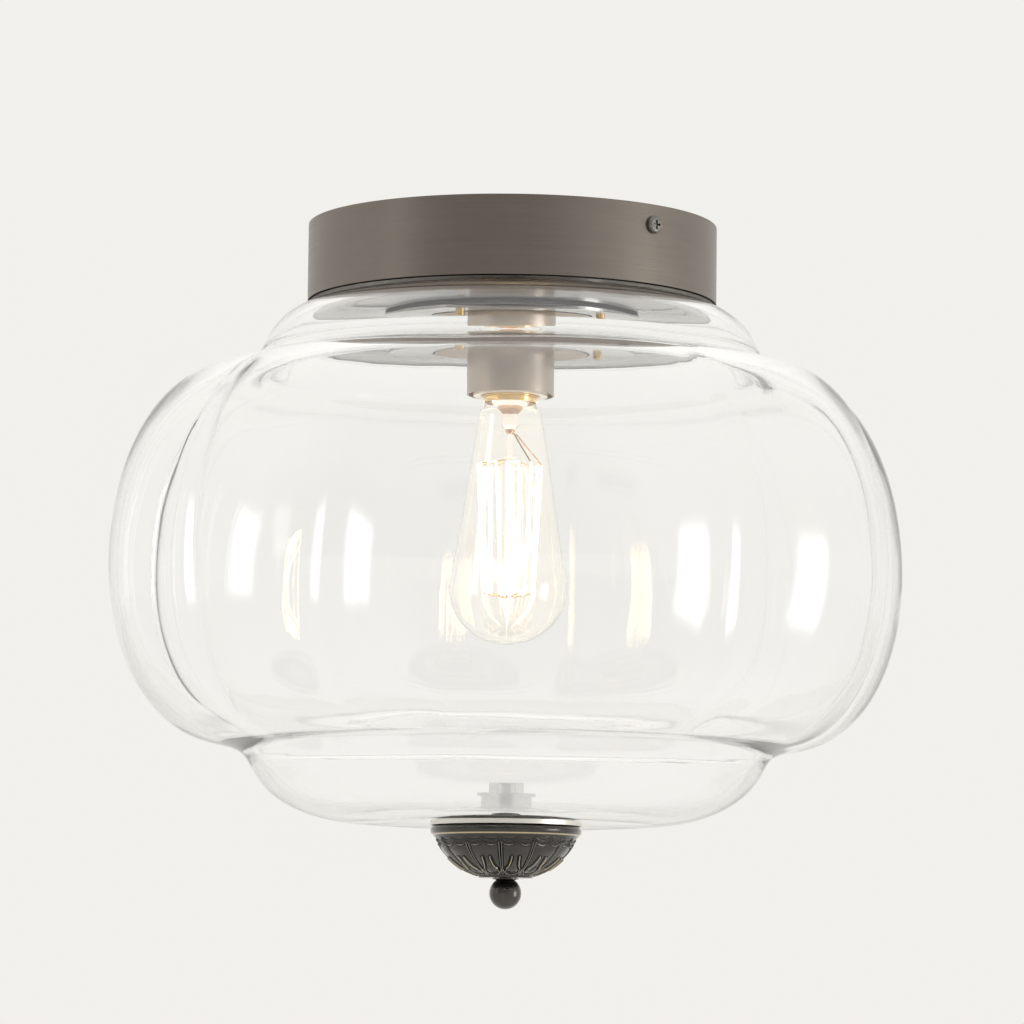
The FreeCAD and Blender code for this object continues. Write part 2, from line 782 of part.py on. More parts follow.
def retainer_studs():
    """Three studs that hang from the canopy floor by their heads."""
    studs = []
    for i, (x, y) in enumerate(stud_places()):
        shank = rod(f"stud_shank_{i}", size.stud_radius, at.floor_top, nut_foot() + size.stud_tip_inset,
                    x, y)
        head = rod(f"stud_head_{i}", size.stud_head_radius, at.floor_top + size.stud_head_height,
                   at.floor_top, x, y)
        studs.append(fused(f"stud_{i}", [shank, head]))
    return group("retainer_studs", studs)


def retainer_nuts():
    """Three slim round brass nuts that the fingers turn up against the retainer ring."""
    nuts = []
    bore, outer = size.stud_radius + size.thread_clearance, size.nut_radius
    waist, nose = outer - size.nut_groove_depth, size.nut_nose_round
    top = at.retainer_under
    groove_top = top - size.nut_flange_height
    groove_foot = groove_top - size.nut_groove_height
    for i in range(STUD_COUNT):
        nut = turned(f"retainer_nut_{i}", [
            (bore, top), (bore, nut_foot()), (outer - nose, nut_foot(), nose),
            (outer, nut_foot() + nose), (outer, groove_foot), (waist, groove_foot),
            (waist, groove_top), (outer, groove_top), (outer, top)])
        azimuth = size.stud_azimuth.value + i * FULL_TURN / STUD_COUNT
        nut.Placement = towards(azimuth, size.stud_circle_radius.value)
        nuts.append(nut)
    return group("retainer_nuts", nuts)


# Lamp holder


def socket_collar():
    """The shallow spun dish between the canopy floor and the lamp holder cup."""
    bore, sheet = size.nipple_radius + size.nipple_clearance, size.collar_sheet
    top, foot = at.floor_under, at.floor_under - size.collar_depth
    return turned("socket_collar", [
        (bore, top), (bore, top - sheet), (size.collar_top_radius - sheet, top - sheet),
        (size.collar_radius - sheet, foot), (size.collar_radius, foot), (size.collar_top_radius, top)])


def socket_cup():
    """The metal cup round the lamp holder."""
    bore, outer = size.nipple_radius + size.nipple_clearance, size.cup_radius
    inner, corner, wall = outer - size.cup_wall, size.cup_shoulder_round, size.cup_wall
    return turned("socket_cup", [
        (bore, at.cup_top), (bore, at.cup_top - wall),
        (outer - corner, at.cup_top - wall, -(corner - wall)), (inner, at.cup_top - corner),
        (inner, at.cup_foot), (outer, at.cup_foot), (outer, at.cup_top - corner, corner),
        (outer - corner, at.cup_top)])


def socket_insulator():
    """The porcelain body: screwed on the tube, with a web for the contacts and a well below."""
    outer = size.cup_radius - size.cup_wall - size.porcelain_gap
    bore, well = size.nipple_radius + size.thread_clearance, size.porcelain_well_radius
    chamfer = size.porcelain_mouth_chamfer
    body = turned("socket_insulator_turned", [
        (bore, at.porcelain_top), (bore, at.nipple_foot), (0, at.nipple_foot), (0, at.well_top),
        (well, at.well_top), (well, at.porcelain_foot + chamfer), (well + chamfer, at.porcelain_foot),
        (outer, at.porcelain_foot), (outer, at.porcelain_top - size.cup_shoulder_round),
        (outer - size.cup_shoulder_round, at.porcelain_top)])
    holes = []
    for name, side in (("live", 1), ("neutral", -1)):
        holes.append(rod(f"porcelain_{name}_hole", size.lead_hole_radius, at.nipple_foot + size.overrun,
                         at.well_top - size.overrun, side * size.lead_spacing / 2))
    piece = cut("socket_insulator", body, holes)
    piece.Placement = towards(contact_azimuth())
    return piece


def contact_azimuth():
    """The side of the lamp holder on which the live contact lies."""
    return size.bracket_azimuth.value + FULL_TURN / 4


def thread_arcs(middle, foot, turns):
    """The waves of a rolled thread, from its foot up, as outline corners."""
    half = size.thread_pitch / 2
    depth = size.thread_depth
    bend = (half * half / 4 + depth * depth) / (2 * depth)
    return [(middle, foot + i * half, bend if i % 2 == 0 else -bend) for i in range(2 * turns)]


def socket_screw_shell():
    """The rolled brass shell that the bulb screws into, with a strip to the neutral lead."""
    turns = int(size.shell_turns.value)
    inner = size.thread_mid_radius + size.thread_mesh_gap
    outer = inner + size.thread_depth + size.shell_sheet
    waves = thread_arcs(inner, at.shell_foot, turns)
    thread_top = at.shell_foot + turns * size.thread_pitch
    flange = inner - size.shell_flange_width
    sheet = size.strip_thickness
    body = turned("socket_screw_shell_turned", [
        (outer, at.shell_foot), *waves, (inner, thread_top), (inner, at.well_top - sheet),
        (flange, at.well_top - sheet), (flange, at.well_top), (outer, at.well_top)])
    strip = slab("neutral_strip",
                 (-(inner - size.strip_thickness), -size.strip_width / 2, at.well_top - sheet),
                 (-size.strip_lead_overlap, size.strip_width / 2, at.well_top))
    piece = fused("socket_screw_shell", [body, strip])
    piece.Placement = towards(contact_azimuth())
    return piece


def socket_contact():
    """The folded brass spring that the live lead feeds and the bulb's tip presses on."""
    half, sheet, reach = size.strip_width / 2, size.strip_thickness, size.contact_reach
    foot = at.contact_under
    upper = slab("contact_upper", (size.strip_lead_overlap, -half, at.well_top - sheet),
                 (reach, half, at.well_top))
    riser = slab("contact_riser", (reach - sheet, -half, foot), (reach, half, at.well_top))
    lower = slab("contact_lower", (-size.base_contact_radius, -half, foot), (reach, half, foot + sheet))
    piece = fused("socket_contact", [upper, riser, lower])
    piece.Placement = towards(contact_azimuth())
    return piece


# Bulb


def bulb_base_shell():
    """The rolled screw base of the bulb: a plain skirt, four turns of thread and a sloping top."""
    turns = int(size.base_turns.value)
    middle, depth, sheet = size.thread_mid_radius, size.thread_depth, size.base_sheet
    inner = middle - depth - sheet
    waves = thread_arcs(middle, at.thread_foot, turns)
    thread_top = at.thread_foot + turns * size.thread_pitch
    skirt = middle + depth
    return turned("bulb_base_shell", [
        (skirt - sheet, at.base_foot), (skirt, at.base_foot), (skirt, at.thread_foot), *waves,
        (middle, thread_top), (size.base_top_radius, base_insulator_foot()),
        (size.base_top_radius - sheet, base_insulator_foot()), (inner, thread_top - sheet),
        (inner, at.thread_foot), (skirt - sheet, at.thread_foot - depth)])


def base_insulator_foot():
    return at.base_top - size.base_contact_height - size.base_insulator_height


def bulb_base_insulator():
    """The dark glass insulator between the base shell and its tip contact."""
    foot = base_insulator_foot()
    top = at.base_top - size.base_contact_height
    return turned("bulb_base_insulator", [
        (0, foot), (size.base_top_radius - size.base_sheet, foot), (size.base_contact_radius, top),
        (0, top)])


def bulb_base_contact():
    """The tip contact on top of the base."""
    radius, corner = size.base_contact_radius, size.base_contact_round
    foot = at.base_top - size.base_contact_height
    return turned("bulb_base_contact", [
        (0, foot), (radius, foot), (radius, at.base_top - corner, corner),
        (radius - corner, at.base_top), (0, at.base_top)])


def bulb_outline(skin):
    """The glass bulb's half outline shrunk by a skin: stub, neck, straight side and round end."""
    radius, foot = size.bulb_radius - skin, at.base_foot - size.bulb_length
    centre = foot + size.bulb_radius
    neck_side, neck_level = size.bulb_neck_radius - skin, at.base_foot - size.bulb_neck_drop
    rise = neck_level - centre
    far = neck_side * neck_side + rise * rise
    touch = leg(root(far), radius)
    side_r = radius * (radius * neck_side + touch * rise) / far
    side_z = centre + radius * (radius * rise - touch * neck_side) / far
    stub = size.bulb_stub_radius - skin
    return SimpleNamespace(stub=stub, neck=(neck_side, neck_level), side=(side_r, side_z),
                           foot=(0, centre - radius), bend=radius)


def bulb_glass():
    """The clear bulb, a thin blown wall with a stub cemented into the base."""
    out, into = bulb_outline(0), bulb_outline(size.bulb_wall)
    top = at.base_foot + size.bulb_stub_height
    shoulder = at.base_foot
    return turned("bulb_glass", [
        (into.stub, top), (into.stub, shoulder), into.neck, (*into.side, -into.bend), into.foot,
        (*out.foot, out.bend), out.side, out.neck, (out.stub, shoulder), (out.stub, top)])


def stem_level(drop):
    return at.base_foot - drop


def bulb_stem():
    """The glass stem: a flare sealed in the neck, a tube, and a rod with a button at each end."""
    rod_radius, button, tall = size.stem_rod_radius, size.stem_button_radius, size.stem_button_height
    tube = size.stem_tube_radius
    top = at.base_foot + size.stem_flare_rise
    flare = top - size.stem_flare_height
    mouth = size.bulb_stub_radius - size.bulb_wall - size.stem_flare_gap
    press = stem_level(size.stem_press_drop)
    upper = stem_level(size.cage_top_drop) + size.support_slant + tall / 2
    lower = stem_level(size.cage_bottom_drop) - size.support_slant + tall / 2
    foot = stem_level(size.stem_rod_drop)
    return turned("bulb_stem", [
        (0, top), (0, foot), (rod_radius, foot), (rod_radius, lower - tall), (button, lower - tall),
        (button, lower), (rod_radius, lower), (rod_radius, upper - tall), (button, upper - tall),
        (button, upper), (rod_radius, upper), (rod_radius, press), (tube, press + tube), (tube, flare),
        (mouth, top)])


def cage_point(step, top):
    """A point on the filament cage's upper or lower rim, steps of half a hook round from its start."""
    radius = size.cage_top_radius if top else size.cage_bottom_radius
    drop = size.cage_top_drop if top else size.cage_bottom_drop
    azimuth = size.cage_azimuth.value + step * FULL_TURN / (2 * size.cage_hooks.value)
    return direction(azimuth) * radius.value + FreeCAD.Vector(0, 0, stem_level(drop).value)


def filament_bends():
    """The two corners of the filament at each hook, from lead to lead: even steps are on top."""
    aside = size.filament_bend_share.value / 2
    count = 2 * int(size.cage_hooks.value)
    return [(cage_point(step - aside, step % 2 == 0), cage_point(step + aside, step % 2 == 0))
            for step in range(count - 1)]


def wire(points, radius):
    """A round wire along straight runs, as one solid with rounded corners."""
    runs = [Part.makeCylinder(radius, (b - a).Length, a, b - a) for a, b in zip(points, points[1:])]
    corners = [Part.makeSphere(radius, p) for p in points[1:-1]]
    return runs[0].fuse(runs[1:] + corners) if len(runs) > 1 else runs[0]


def bulb_filament():
    """The filament: one wire laced up and down round the cage of hooks."""
    corners = [corner for bend in filament_bends() for corner in bend]
    return shaped("bulb_filament", wire(corners[1:-1], size.filament_radius.value))


def bulb_supports():
    """Fine wires from the stem's two buttons to the hooks that hold the filament."""
    spokes = []
    slant = FreeCAD.Vector(0, 0, size.support_slant.value)
    gap = size.filament_radius.value
    for step, bend in enumerate(filament_bends()[1:-1], 1):
        hook = (bend[0] + bend[1]) / 2
        start = slant if step % 2 == 0 else -slant
        button = FreeCAD.Vector(0, 0, hook.z) + start
        out = (hook - button).normalize()
        first = button + out * (size.stem_button_radius + size.support_gap).value
        spokes.append(wire([first, hook - out * gap], size.support_radius.value))
    return shaped("bulb_supports", Part.makeCompound(spokes))


def bulb_lead_wires():
    """The two wires from the stem's press to the ends of the filament."""
    bends = filament_bends()
    press = FreeCAD.Vector(0, 0, stem_level(size.stem_press_drop).value)
    leads = []
    for tip in (bends[0][1], bends[-1][0]):
        flat = FreeCAD.Vector(tip.x, tip.y, 0).normalize()
        start = press + flat * size.stem_rod_radius.value * 2
        along = (tip - start).normalize()
        end = tip - along * size.filament_radius.value
        leads.append(wire([start, end], size.lead_wire_radius.value))
    return shaped("bulb_lead_wires", Part.makeCompound(leads))


# Finial and its fixings


def finial_shank_hole():
    return size.finial_shank_radius + size.finial_shank_clearance


def finial_inner_nut():
    """The nut inside the glass that the finial knob screws into."""
    nut = hexagon("inner_nut_blank", size.finial_inner_nut_corners, at.inner_nut_top, at.washer_top)
    hole = rod("inner_nut_hole", size.finial_shank_radius + size.thread_clearance,
               at.inner_nut_top + size.overrun, at.washer_top - size.overrun)
    return cut("finial_inner_nut", nut, [hole])


def finial_inner_washer():
    """The washer under the inner nut."""
    return ring("finial_inner_washer", size.finial_washer_radius, finial_shank_hole(),
                at.washer_top, at.bushing_top)


def finial_bushing():
    """The clear bush that centres the finial in the hole of the glass."""
    hole = finial_shank_hole()
    return turned("finial_bushing", [
        (hole, at.bushing_top), (hole, at.seat_under), (size.finial_bushing_spigot_radius, at.seat_under),
        (size.finial_bushing_spigot_radius, at.seat_top), (size.finial_bushing_radius, at.seat_top),
        (size.finial_bushing_radius, at.bushing_top)])


def finial_gasket():
    """The soft washer between the glass and the finial."""
    return ring("finial_gasket", size.finial_gasket_radius, finial_shank_hole(),
                at.seat_under, at.gasket_under)


def finial_trim_plate():
    """The bright plate whose edge shows above the finial cap."""
    return ring("finial_trim_plate", size.finial_trim_radius, finial_shank_hole(),
                at.gasket_under, at.trim_under)


def finial_cap():
    """The cast cap: a rolled rim over a hollow dome that ends in a small lip."""
    roll, outer, wall = size.finial_roll_radius, size.finial_trim_radius, size.finial_wall
    dome, inner_dome = size.finial_dome_radius, size.finial_dome_radius - wall
    hole, foot = finial_shank_hole(), size.finial_dome_foot_radius
    rim_inner = outer - wall - 2 * roll
    inner_top = at.dome_centre - leg(inner_dome, rim_inner)
    floor = at.dome_foot + wall
    floor_radius = leg(inner_dome, at.dome_centre - floor)
    return turned("finial_cap", [
        (rim_inner, at.trim_under), (outer - roll, at.trim_under, -roll),
        (outer, at.trim_under - roll, -roll), (outer - roll, at.roll_under),
        (outer - roll, at.dome_top, -dome),
        (foot, at.dome_foot), (foot, at.cap_foot), (hole, at.cap_foot), (hole, floor),
        (floor_radius, floor, inner_dome), (rim_inner, inner_top)])


def finial_knob():
    """The ball knob with its waisted neck and the threaded shank up to the inner nut."""
    shank, neck_side = size.finial_shank_radius, size.finial_neck_radius
    waist, ball = size.finial_waist_radius, size.finial_ball_radius
    waist_level = at.ball_centre + leg(ball, waist)
    bead = (at.knob_top - waist_level) / 2
    return turned("finial_knob", [
        (0, at.inner_nut_top - size.finial_shank_short), (0, at.ball_centre - ball, ball),
        (ball, at.ball_centre, ball), (waist, waist_level), (neck_side, at.knob_top - bead),
        (neck_side, at.knob_top), (shank, at.knob_top),
        (shank, at.inner_nut_top - size.finial_shank_short)])


# Terminal block and leads, drawn with the block out along their own +X


def block_azimuth():
    """The side of the canopy on which the terminal block stands, under the bracket."""
    return size.bracket_azimuth.value


def terminal_block():
    """The two-pole block on the canopy floor, with entries for the leads and the supply."""
    start, end = size.block_start, size.block_start + size.block_length
    half, run = size.block_width / 2, size.overrun
    block = slab("block_blank", (start, -half, at.floor_top), (end, half, at.block_top))
    tools = []
    for i, side in enumerate((-1, 1)):
        across = side * size.block_entry_spacing / 2
        for name, low in (("lead", start - run), ("supply", end - size.block_entry_depth)):
            tools.append(block_entry(f"block_{name}_entry_{i}", low, across))
        for name, along in (("lead", start + size.block_screw_inset), ("supply", end - size.block_screw_inset)):
            tools.append(rod(f"block_{name}_well_{i}", size.block_screw_radius + size.block_screw_clearance,
                             at.block_top + run, at.lead_level, along, across))
    piece = cut("terminal_block", block, tools)
    piece.Placement = towards(block_azimuth())
    return piece


def block_entry(name, low, across):
    """A level wire entry that starts at a distance along the block."""
    entry = doc.addObject("Part::Cylinder", name)
    bind(entry, Radius=size.block_entry_radius, Height=size.block_entry_depth + size.overrun)
    entry.Placement = FreeCAD.Placement(FreeCAD.Vector(), FreeCAD.Rotation(FreeCAD.Vector(0, 1, 0), 90))
    return put(entry, low, across, at.lead_level)


def terminal_screws():
    """The four clamp screws in their wells in the block."""
    start, end = size.block_start, size.block_start + size.block_length
    foot = at.lead_level + size.lead_radius
    screws = []
    for i, side in enumerate((-1, 1)):
        across = side * size.block_entry_spacing / 2
        for k, along in enumerate((start + size.block_screw_inset, end - size.block_screw_inset)):
            top = foot + size.block_screw_height
            screw = rod(f"clamp_{i}_{k}_blank", size.block_screw_radius, top, foot, along, across)
            half_length, half_width = size.block_screw_radius + size.overrun, size.drive_slot_width / 3
            slot = slab(f"clamp_{i}_{k}_slot", (along - half_length, across - half_width,
                                               top - size.block_screw_height / 3),
                        (along + half_length, across + half_width, top + size.overrun))
            screws.append(cut(f"clamp_{i}_{k}", screw, [slot]))
    piece = group("terminal_screws", screws)
    piece.Placement = towards(block_azimuth())
    return piece


def lead(name, side):
    """One lead: up through the tube, one bend, and level into the block."""
    bend = size.lead_bend_radius.value
    foot, level = at.well_top.value, at.lead_level.value
    end = size.block_start.value + size.lead_into_block.value
    start = FreeCAD.Vector(0, 0, foot)
    before = FreeCAD.Vector(0, 0, level - bend)
    middle = before + FreeCAD.Vector(bend * (1 - math.cos(math.pi / 4)), 0, bend * math.sin(math.pi / 4))
    after = FreeCAD.Vector(bend, 0, level)
    last = FreeCAD.Vector(end, 0, level)
    path = Part.Wire([Part.makeLine(start, before), Part.Arc(before, middle, after).toShape(),
                      Part.makeLine(after, last)])
    section = Part.Wire(Part.makeCircle(size.lead_radius.value, start, FreeCAD.Vector(0, 0, 1)))
    piece = shaped(name, path.makePipeShell([section], True, False))
    fan = FreeCAD.Rotation(FreeCAD.Vector(0, 0, 1), side * size.lead_fan_angle.value)
    offset = FreeCAD.Vector(0, side * size.lead_spacing.value / 2, 0)
    piece.Placement = towards(block_azimuth()).multiply(FreeCAD.Placement(offset, fan))
    return piece


def lead_live():
    return lead("lead_live", -1)


def lead_neutral():
    return lead("lead_neutral", 1)


PIECES = (
    mounting_bracket, ground_screw, canopy_pan, canopy_side_screws, threaded_nipple, nipple_washer,
    nipple_locknut, upper_gasket, glass_shade, lower_gasket, retainer_ring, retainer_studs,
    retainer_nuts, socket_collar, socket_cup, socket_insulator, socket_screw_shell, socket_contact,
    bulb_base_contact, bulb_base_insulator, bulb_base_shell, bulb_glass, bulb_stem, bulb_supports,
    bulb_lead_wires, bulb_filament, finial_inner_nut, finial_inner_washer, finial_bushing,
    finial_gasket, finial_trim_plate, finial_cap, finial_knob, terminal_block, terminal_screws,
    lead_live, lead_neutral,
)


def check(pieces):
    """Stops on a failed object or a bad shape, before anything is written."""
    for item in doc.Objects:
        if {"Invalid", "Error"} & set(item.State):
            raise ValueError(f"{item.Name} failed: {item.State}")
    for piece in pieces:
        if piece.Shape.isNull() or not piece.Shape.isValid() or not piece.Shape.Solids:
            raise ValueError(f"{piece.Label} has no sound solid")


write_sheet()
at = level_sizes()
made = [labelled(make(), make.__name__) for make in PIECES]
doc.recompute()
check(made)
os.makedirs("parts", exist_ok=True)
for sub_part in made:
    sub_part.Shape.exportStep(f"parts/{sub_part.Label}.step")
    box = sub_part.Shape.BoundBox
    print(f"{sub_part.Label}: {len(sub_part.Shape.Solids)} solid(s), Z {box.ZMin:.1f} to {box.ZMax:.1f}")
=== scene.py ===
import math

import bmesh
import bpy
import numpy as np
from mathutils import Matrix, Vector


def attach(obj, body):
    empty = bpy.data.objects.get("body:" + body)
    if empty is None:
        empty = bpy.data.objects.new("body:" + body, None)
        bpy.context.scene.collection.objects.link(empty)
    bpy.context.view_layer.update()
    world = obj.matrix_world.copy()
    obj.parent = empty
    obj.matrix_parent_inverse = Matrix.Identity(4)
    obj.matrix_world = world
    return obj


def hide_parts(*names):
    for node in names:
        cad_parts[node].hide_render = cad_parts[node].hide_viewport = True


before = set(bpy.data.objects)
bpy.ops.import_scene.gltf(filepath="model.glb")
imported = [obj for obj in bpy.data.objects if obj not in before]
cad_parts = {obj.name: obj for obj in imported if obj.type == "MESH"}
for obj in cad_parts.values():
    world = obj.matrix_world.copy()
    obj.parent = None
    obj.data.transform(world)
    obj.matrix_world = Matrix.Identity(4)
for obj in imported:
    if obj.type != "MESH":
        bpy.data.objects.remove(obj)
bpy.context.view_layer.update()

# The viewpoint. A long lens in front of the light and a little lower looks slightly upwards, so that
# the canopy's underside shows through the neck and the finial hangs clear below the bowl.
camera_distance = 2.38
camera_pitch = math.radians(6.05)
camera_roll = math.radians(0.65)
camera_lens = 169.9
sensor_width = 36.0
nearest_seen, farthest_seen = 0.05, 100.0
looked_at = Vector((0.0012, 0.0, -0.1421))

ahead = Vector((0.0, math.cos(camera_pitch), math.sin(camera_pitch)))
level = Vector((1.0, 0.0, 0.0))
rightward = level * math.cos(camera_roll) + level.cross(ahead) * math.sin(camera_roll)
upward = rightward.cross(ahead)
camera_data = bpy.data.cameras.new("camera")
camera_data.lens = camera_lens
camera_data.sensor_width = sensor_width
camera_data.clip_start = nearest_seen
camera_data.clip_end = farthest_seen
camera = bpy.data.objects.new("camera", camera_data)
bpy.context.scene.collection.objects.link(camera)
camera_place = looked_at - ahead * camera_distance / math.cos(camera_pitch)
camera_turn = Matrix((rightward, upward, -ahead)).transposed()
camera.matrix_world = Matrix.Translation(camera_place) @ camera_turn.to_4x4()
bpy.context.scene.camera = camera


# The studio. A pale room, brighter overhead and dimmer on the viewer's side, one tall window low on
# the right, a weak fill on the left and a plain pale floor at the usual distance below a ceiling.
class Socket:
    """An output of a node. A sum on it adds the Math nodes that work it out."""

    def __init__(self, bench, output):
        self.bench = bench
        self.output = output

    def maths(self, operation, *others):
        return self.bench.maths(operation, self, *others)

    def __add__(self, other):
        return self.bench.maths("ADD", self, other)

    def __radd__(self, other):
        return self.bench.maths("ADD", other, self)

    def __sub__(self, other):
        return self.bench.maths("SUBTRACT", self, other)

    def __mul__(self, other):
        return self.bench.maths("MULTIPLY", self, other)

    def __rmul__(self, other):
        return self.bench.maths("MULTIPLY", other, self)

    def __truediv__(self, other):
        return self.bench.maths("DIVIDE", self, other)

    def __rtruediv__(self, other):
        return self.bench.maths("DIVIDE", other, self)


class Bench:
    """Lays nodes into one tree."""

    colour_entries, colour_exit = (6, 7), 2

    def __init__(self, tree):
        self.tree = tree

    def node(self, kind, settings=None, values=None):
        """A new node: its settings first, then the value or link of each named socket."""
        made = self.tree.nodes.new(kind)
        for name, setting in (settings or {}).items():
            setattr(made, name, setting)
        for name, value in (values or {}).items():
            self.feed(made.inputs[name], value)
        return made

    def feed(self, entry, value):
        if isinstance(value, Socket):
            self.tree.links.new(value.output, entry)
        else:
            entry.default_value = value

    def out(self, made, name=0):
        return Socket(self, made.outputs[name])

    def maths(self, operation, *numbers):
        made = self.node("ShaderNodeMath", {"operation": operation}, dict(enumerate(numbers)))
        return self.out(made)

    def eased(self, value, low, high, start=0.0, end=1.0):
        """A value carried smoothly from one range to another, held at both ends."""
        made = self.node("ShaderNodeMapRange", {"interpolation_type": "SMOOTHSTEP"}, {
            "Value": value, "From Min": low, "From Max": high, "To Min": start, "To Max": end})
        return self.out(made, "Result")

    def vector(self, x, y, z):
        return self.out(self.node("ShaderNodeCombineXYZ", None, {"X": x, "Y": y, "Z": z}))

    def parts(self, vector):
        made = self.node("ShaderNodeSeparateXYZ", None, {"Vector": vector})
        return [self.out(made, axis) for axis in "XYZ"]

    def place(self):
        """Where a point of the surface is, in the light's own frame."""
        return self.out(self.node("ShaderNodeTexCoord"), "Object")

    def mixed(self, share, first, second):
        """Two colours mixed by a share from 0 to 1."""
        made = self.node("ShaderNodeMix", {"data_type": "RGBA"}, {"Factor": share})
        for entry, colour in zip(self.colour_entries, (first, second)):
            self.feed(made.inputs[entry], colour if isinstance(colour, Socket) else (*colour, 1.0))
        return self.out(made, self.colour_exit)

    def speckle(self, scale, detail=3.0, where=None, lumps=0.5):
        """Soft random grain between 0 and 1."""
        made = self.node("ShaderNodeTexNoise", None, {
            "Vector": where or self.place(), "Scale": scale, "Detail": detail, "Roughness": lumps})
        return self.out(made, "Fac")

    def relief(self, height, strength, depth=0.0001):
        """A Bump node's normal for fine marks that are too shallow to model."""
        made = self.node("ShaderNodeBump", None, {
            "Height": height, "Strength": strength, "Distance": depth})
        return self.out(made, "Normal")


room_white = (0.885, 0.872, 0.838)
room_shadow = (0.05, 0.05, 0.052)
room_gain_above = 0.18
gain_from, gain_full = 0.15, 0.7
room_dim_share = 0.45
room_dim_toward = Vector((-0.3, -0.95, 0.0)).normalized()
dim_from, dim_full = 0.3, 0.95
world = bpy.data.worlds.new("pale_room")
bpy.context.scene.world = world
world.use_nodes = True
room = Bench(world.node_tree)
ways = room.parts(room.out(room.node("ShaderNodeTexCoord"), "Generated"))
facing_viewer = sum(way * share for way, share in zip(ways, room_dim_toward))
dimmed = room.eased(facing_viewer, dim_from, dim_full) * room_dim_share
backdrop = world.node_tree.nodes["Background"]
room.feed(backdrop.inputs["Color"], room.mixed(dimmed, room_white, room_shadow))
room.feed(backdrop.inputs["Strength"], 1.0 + room.eased(ways[2], gain_from, gain_full) * room_gain_above)


panel_edge_share = 0.28
panel_focus = 3.0


def soft_panel(name, place, aim, size, watts, colour):
    """A large lamp, brightest in the middle, that doesn't show in the picture itself."""
    data = bpy.data.lights.new(name, "AREA")
    data.shape = "RECTANGLE"
    data.size, data.size_y = size
    data.energy = watts
    data.color = colour
    panel = bpy.data.objects.new(name, data)
    bpy.context.scene.collection.objects.link(panel)
    panel.location = place
    panel.rotation_euler = (Vector(aim) - Vector(place)).to_track_quat("-Z", "Y").to_euler()
    panel.visible_camera = False
    data.use_nodes = True
    bench = Bench(data.node_tree)
    across, up, _ = bench.parts(bench.out(bench.node("ShaderNodeNewGeometry"), "Parametric"))
    fade = [bench.eased(way, 0.0, panel_edge_share) * bench.eased(way, 1.0, 1.0 - panel_edge_share)
            for way in (across, up)]
    glow = (fade[0] * fade[1]).maths("POWER", panel_focus)
    bench.feed(data.node_tree.nodes["Emission"].inputs["Strength"], glow)


def finish(name, constants, paint=None):
    """A finish: what is even is set on the shader, and paint gives what changes over the surface."""
    material = bpy.data.materials.new(name)
    material.use_nodes = True
    bench = Bench(material.node_tree)
    shader = material.node_tree.nodes["Principled BSDF"]
    for socket, value in constants.items():
        shader.inputs[socket].default_value = value
    for socket, value in (paint(bench) if paint else {}).items():
        bench.feed(shader.inputs[socket], value)
    return material


middle = (0.0, 0.0, -0.17)
window_azimuth = math.radians(77.0)
window_distance = 3.2
window_level = -0.5
window_size, window_watts, window_white = (1.75, 2.5), 58.0, (1.0, 0.995, 0.985)
fill_place = (-3.4, -1.6, 0.2)
fill_size, fill_watts, fill_white = (1.0, 1.6), 5.0, (1.0, 0.98, 0.95)
window_place = (window_distance * math.sin(window_azimuth), -window_distance * math.cos(window_azimuth),
                window_level)
soft_panel("right_window", window_place, middle, window_size, window_watts, window_white)
soft_panel("left_fill", fill_place, middle, fill_size, fill_watts, fill_white)

floor_level = -2.4
floor_radius = 45.0
floor_steps = 96
floor_light, floor_dark = (0.86, 0.86, 0.85), (0.83, 0.83, 0.82)
floor_glow = 0.02
floor_mesh = bmesh.new()
bmesh.ops.create_circle(floor_mesh, cap_ends=True, segments=floor_steps, radius=floor_radius)
floor_mesh.transform(Matrix.Translation((0.0, 0.0, floor_level)))
floor_data = bpy.data.meshes.new("floor")
floor_mesh.to_mesh(floor_data)
floor = bpy.data.objects.new("floor", floor_data)
bpy.context.scene.collection.objects.link(floor)
floor_data.materials.append(finish(
    "pale_floor", {"Roughness": 0.9, "Emission Color": (*room_white, 1.0), "Emission Strength": floor_glow},
    lambda bench: {"Base Color": bench.mixed(bench.speckle(0.8), floor_light, floor_dark)}))


# The ceiling bracket and its earth screw. A bar folded from galvanised sheet, with two tabs drilled
# for the canopy's screws; the screw that takes the earth wire has a green head.
def dress(material, *nodes):
    """Gives pieces that keep their CAD shape a finish."""
    for node in nodes:
        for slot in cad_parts[node].material_slots:
            slot.material = material


def galvanised(bench):
    """Zinc flakes of slightly different greys, a little rough, with a few duller stains."""
    flakes = bench.node("ShaderNodeTexVoronoi", {"feature": "F1"}, {
        "Vector": bench.place(), "Scale": 260.0})
    tone = bench.parts(bench.out(flakes, "Color"))[0]
    stain = bench.speckle(60.0)
    return {"Base Color": bench.mixed(tone * 0.6 + stain * 0.4, (0.46, 0.47, 0.48), (0.66, 0.67, 0.68)),
            "Roughness": 0.28 + tone * 0.12 + stain * 0.12,
            "Normal": bench.relief(tone + stain, 0.15)}


def green_paint(bench):
    """Enamel worn through to steel on the high spots."""
    worn = bench.eased(bench.speckle(900.0), 0.62, 0.7)
    return {"Base Color": bench.mixed(worn, (0.03, 0.22, 0.06), (0.5, 0.5, 0.48)),
            "Metallic": worn, "Roughness": 0.3 + worn * 0.2,
            "Normal": bench.relief(bench.speckle(500.0), 0.1)}


dress(finish("galvanised_steel", {"Metallic": 1.0}, galvanised), "mounting_bracket")
dress(finish("green_enamel", {"Coat Weight": 0.3}, green_paint), "ground_screw")


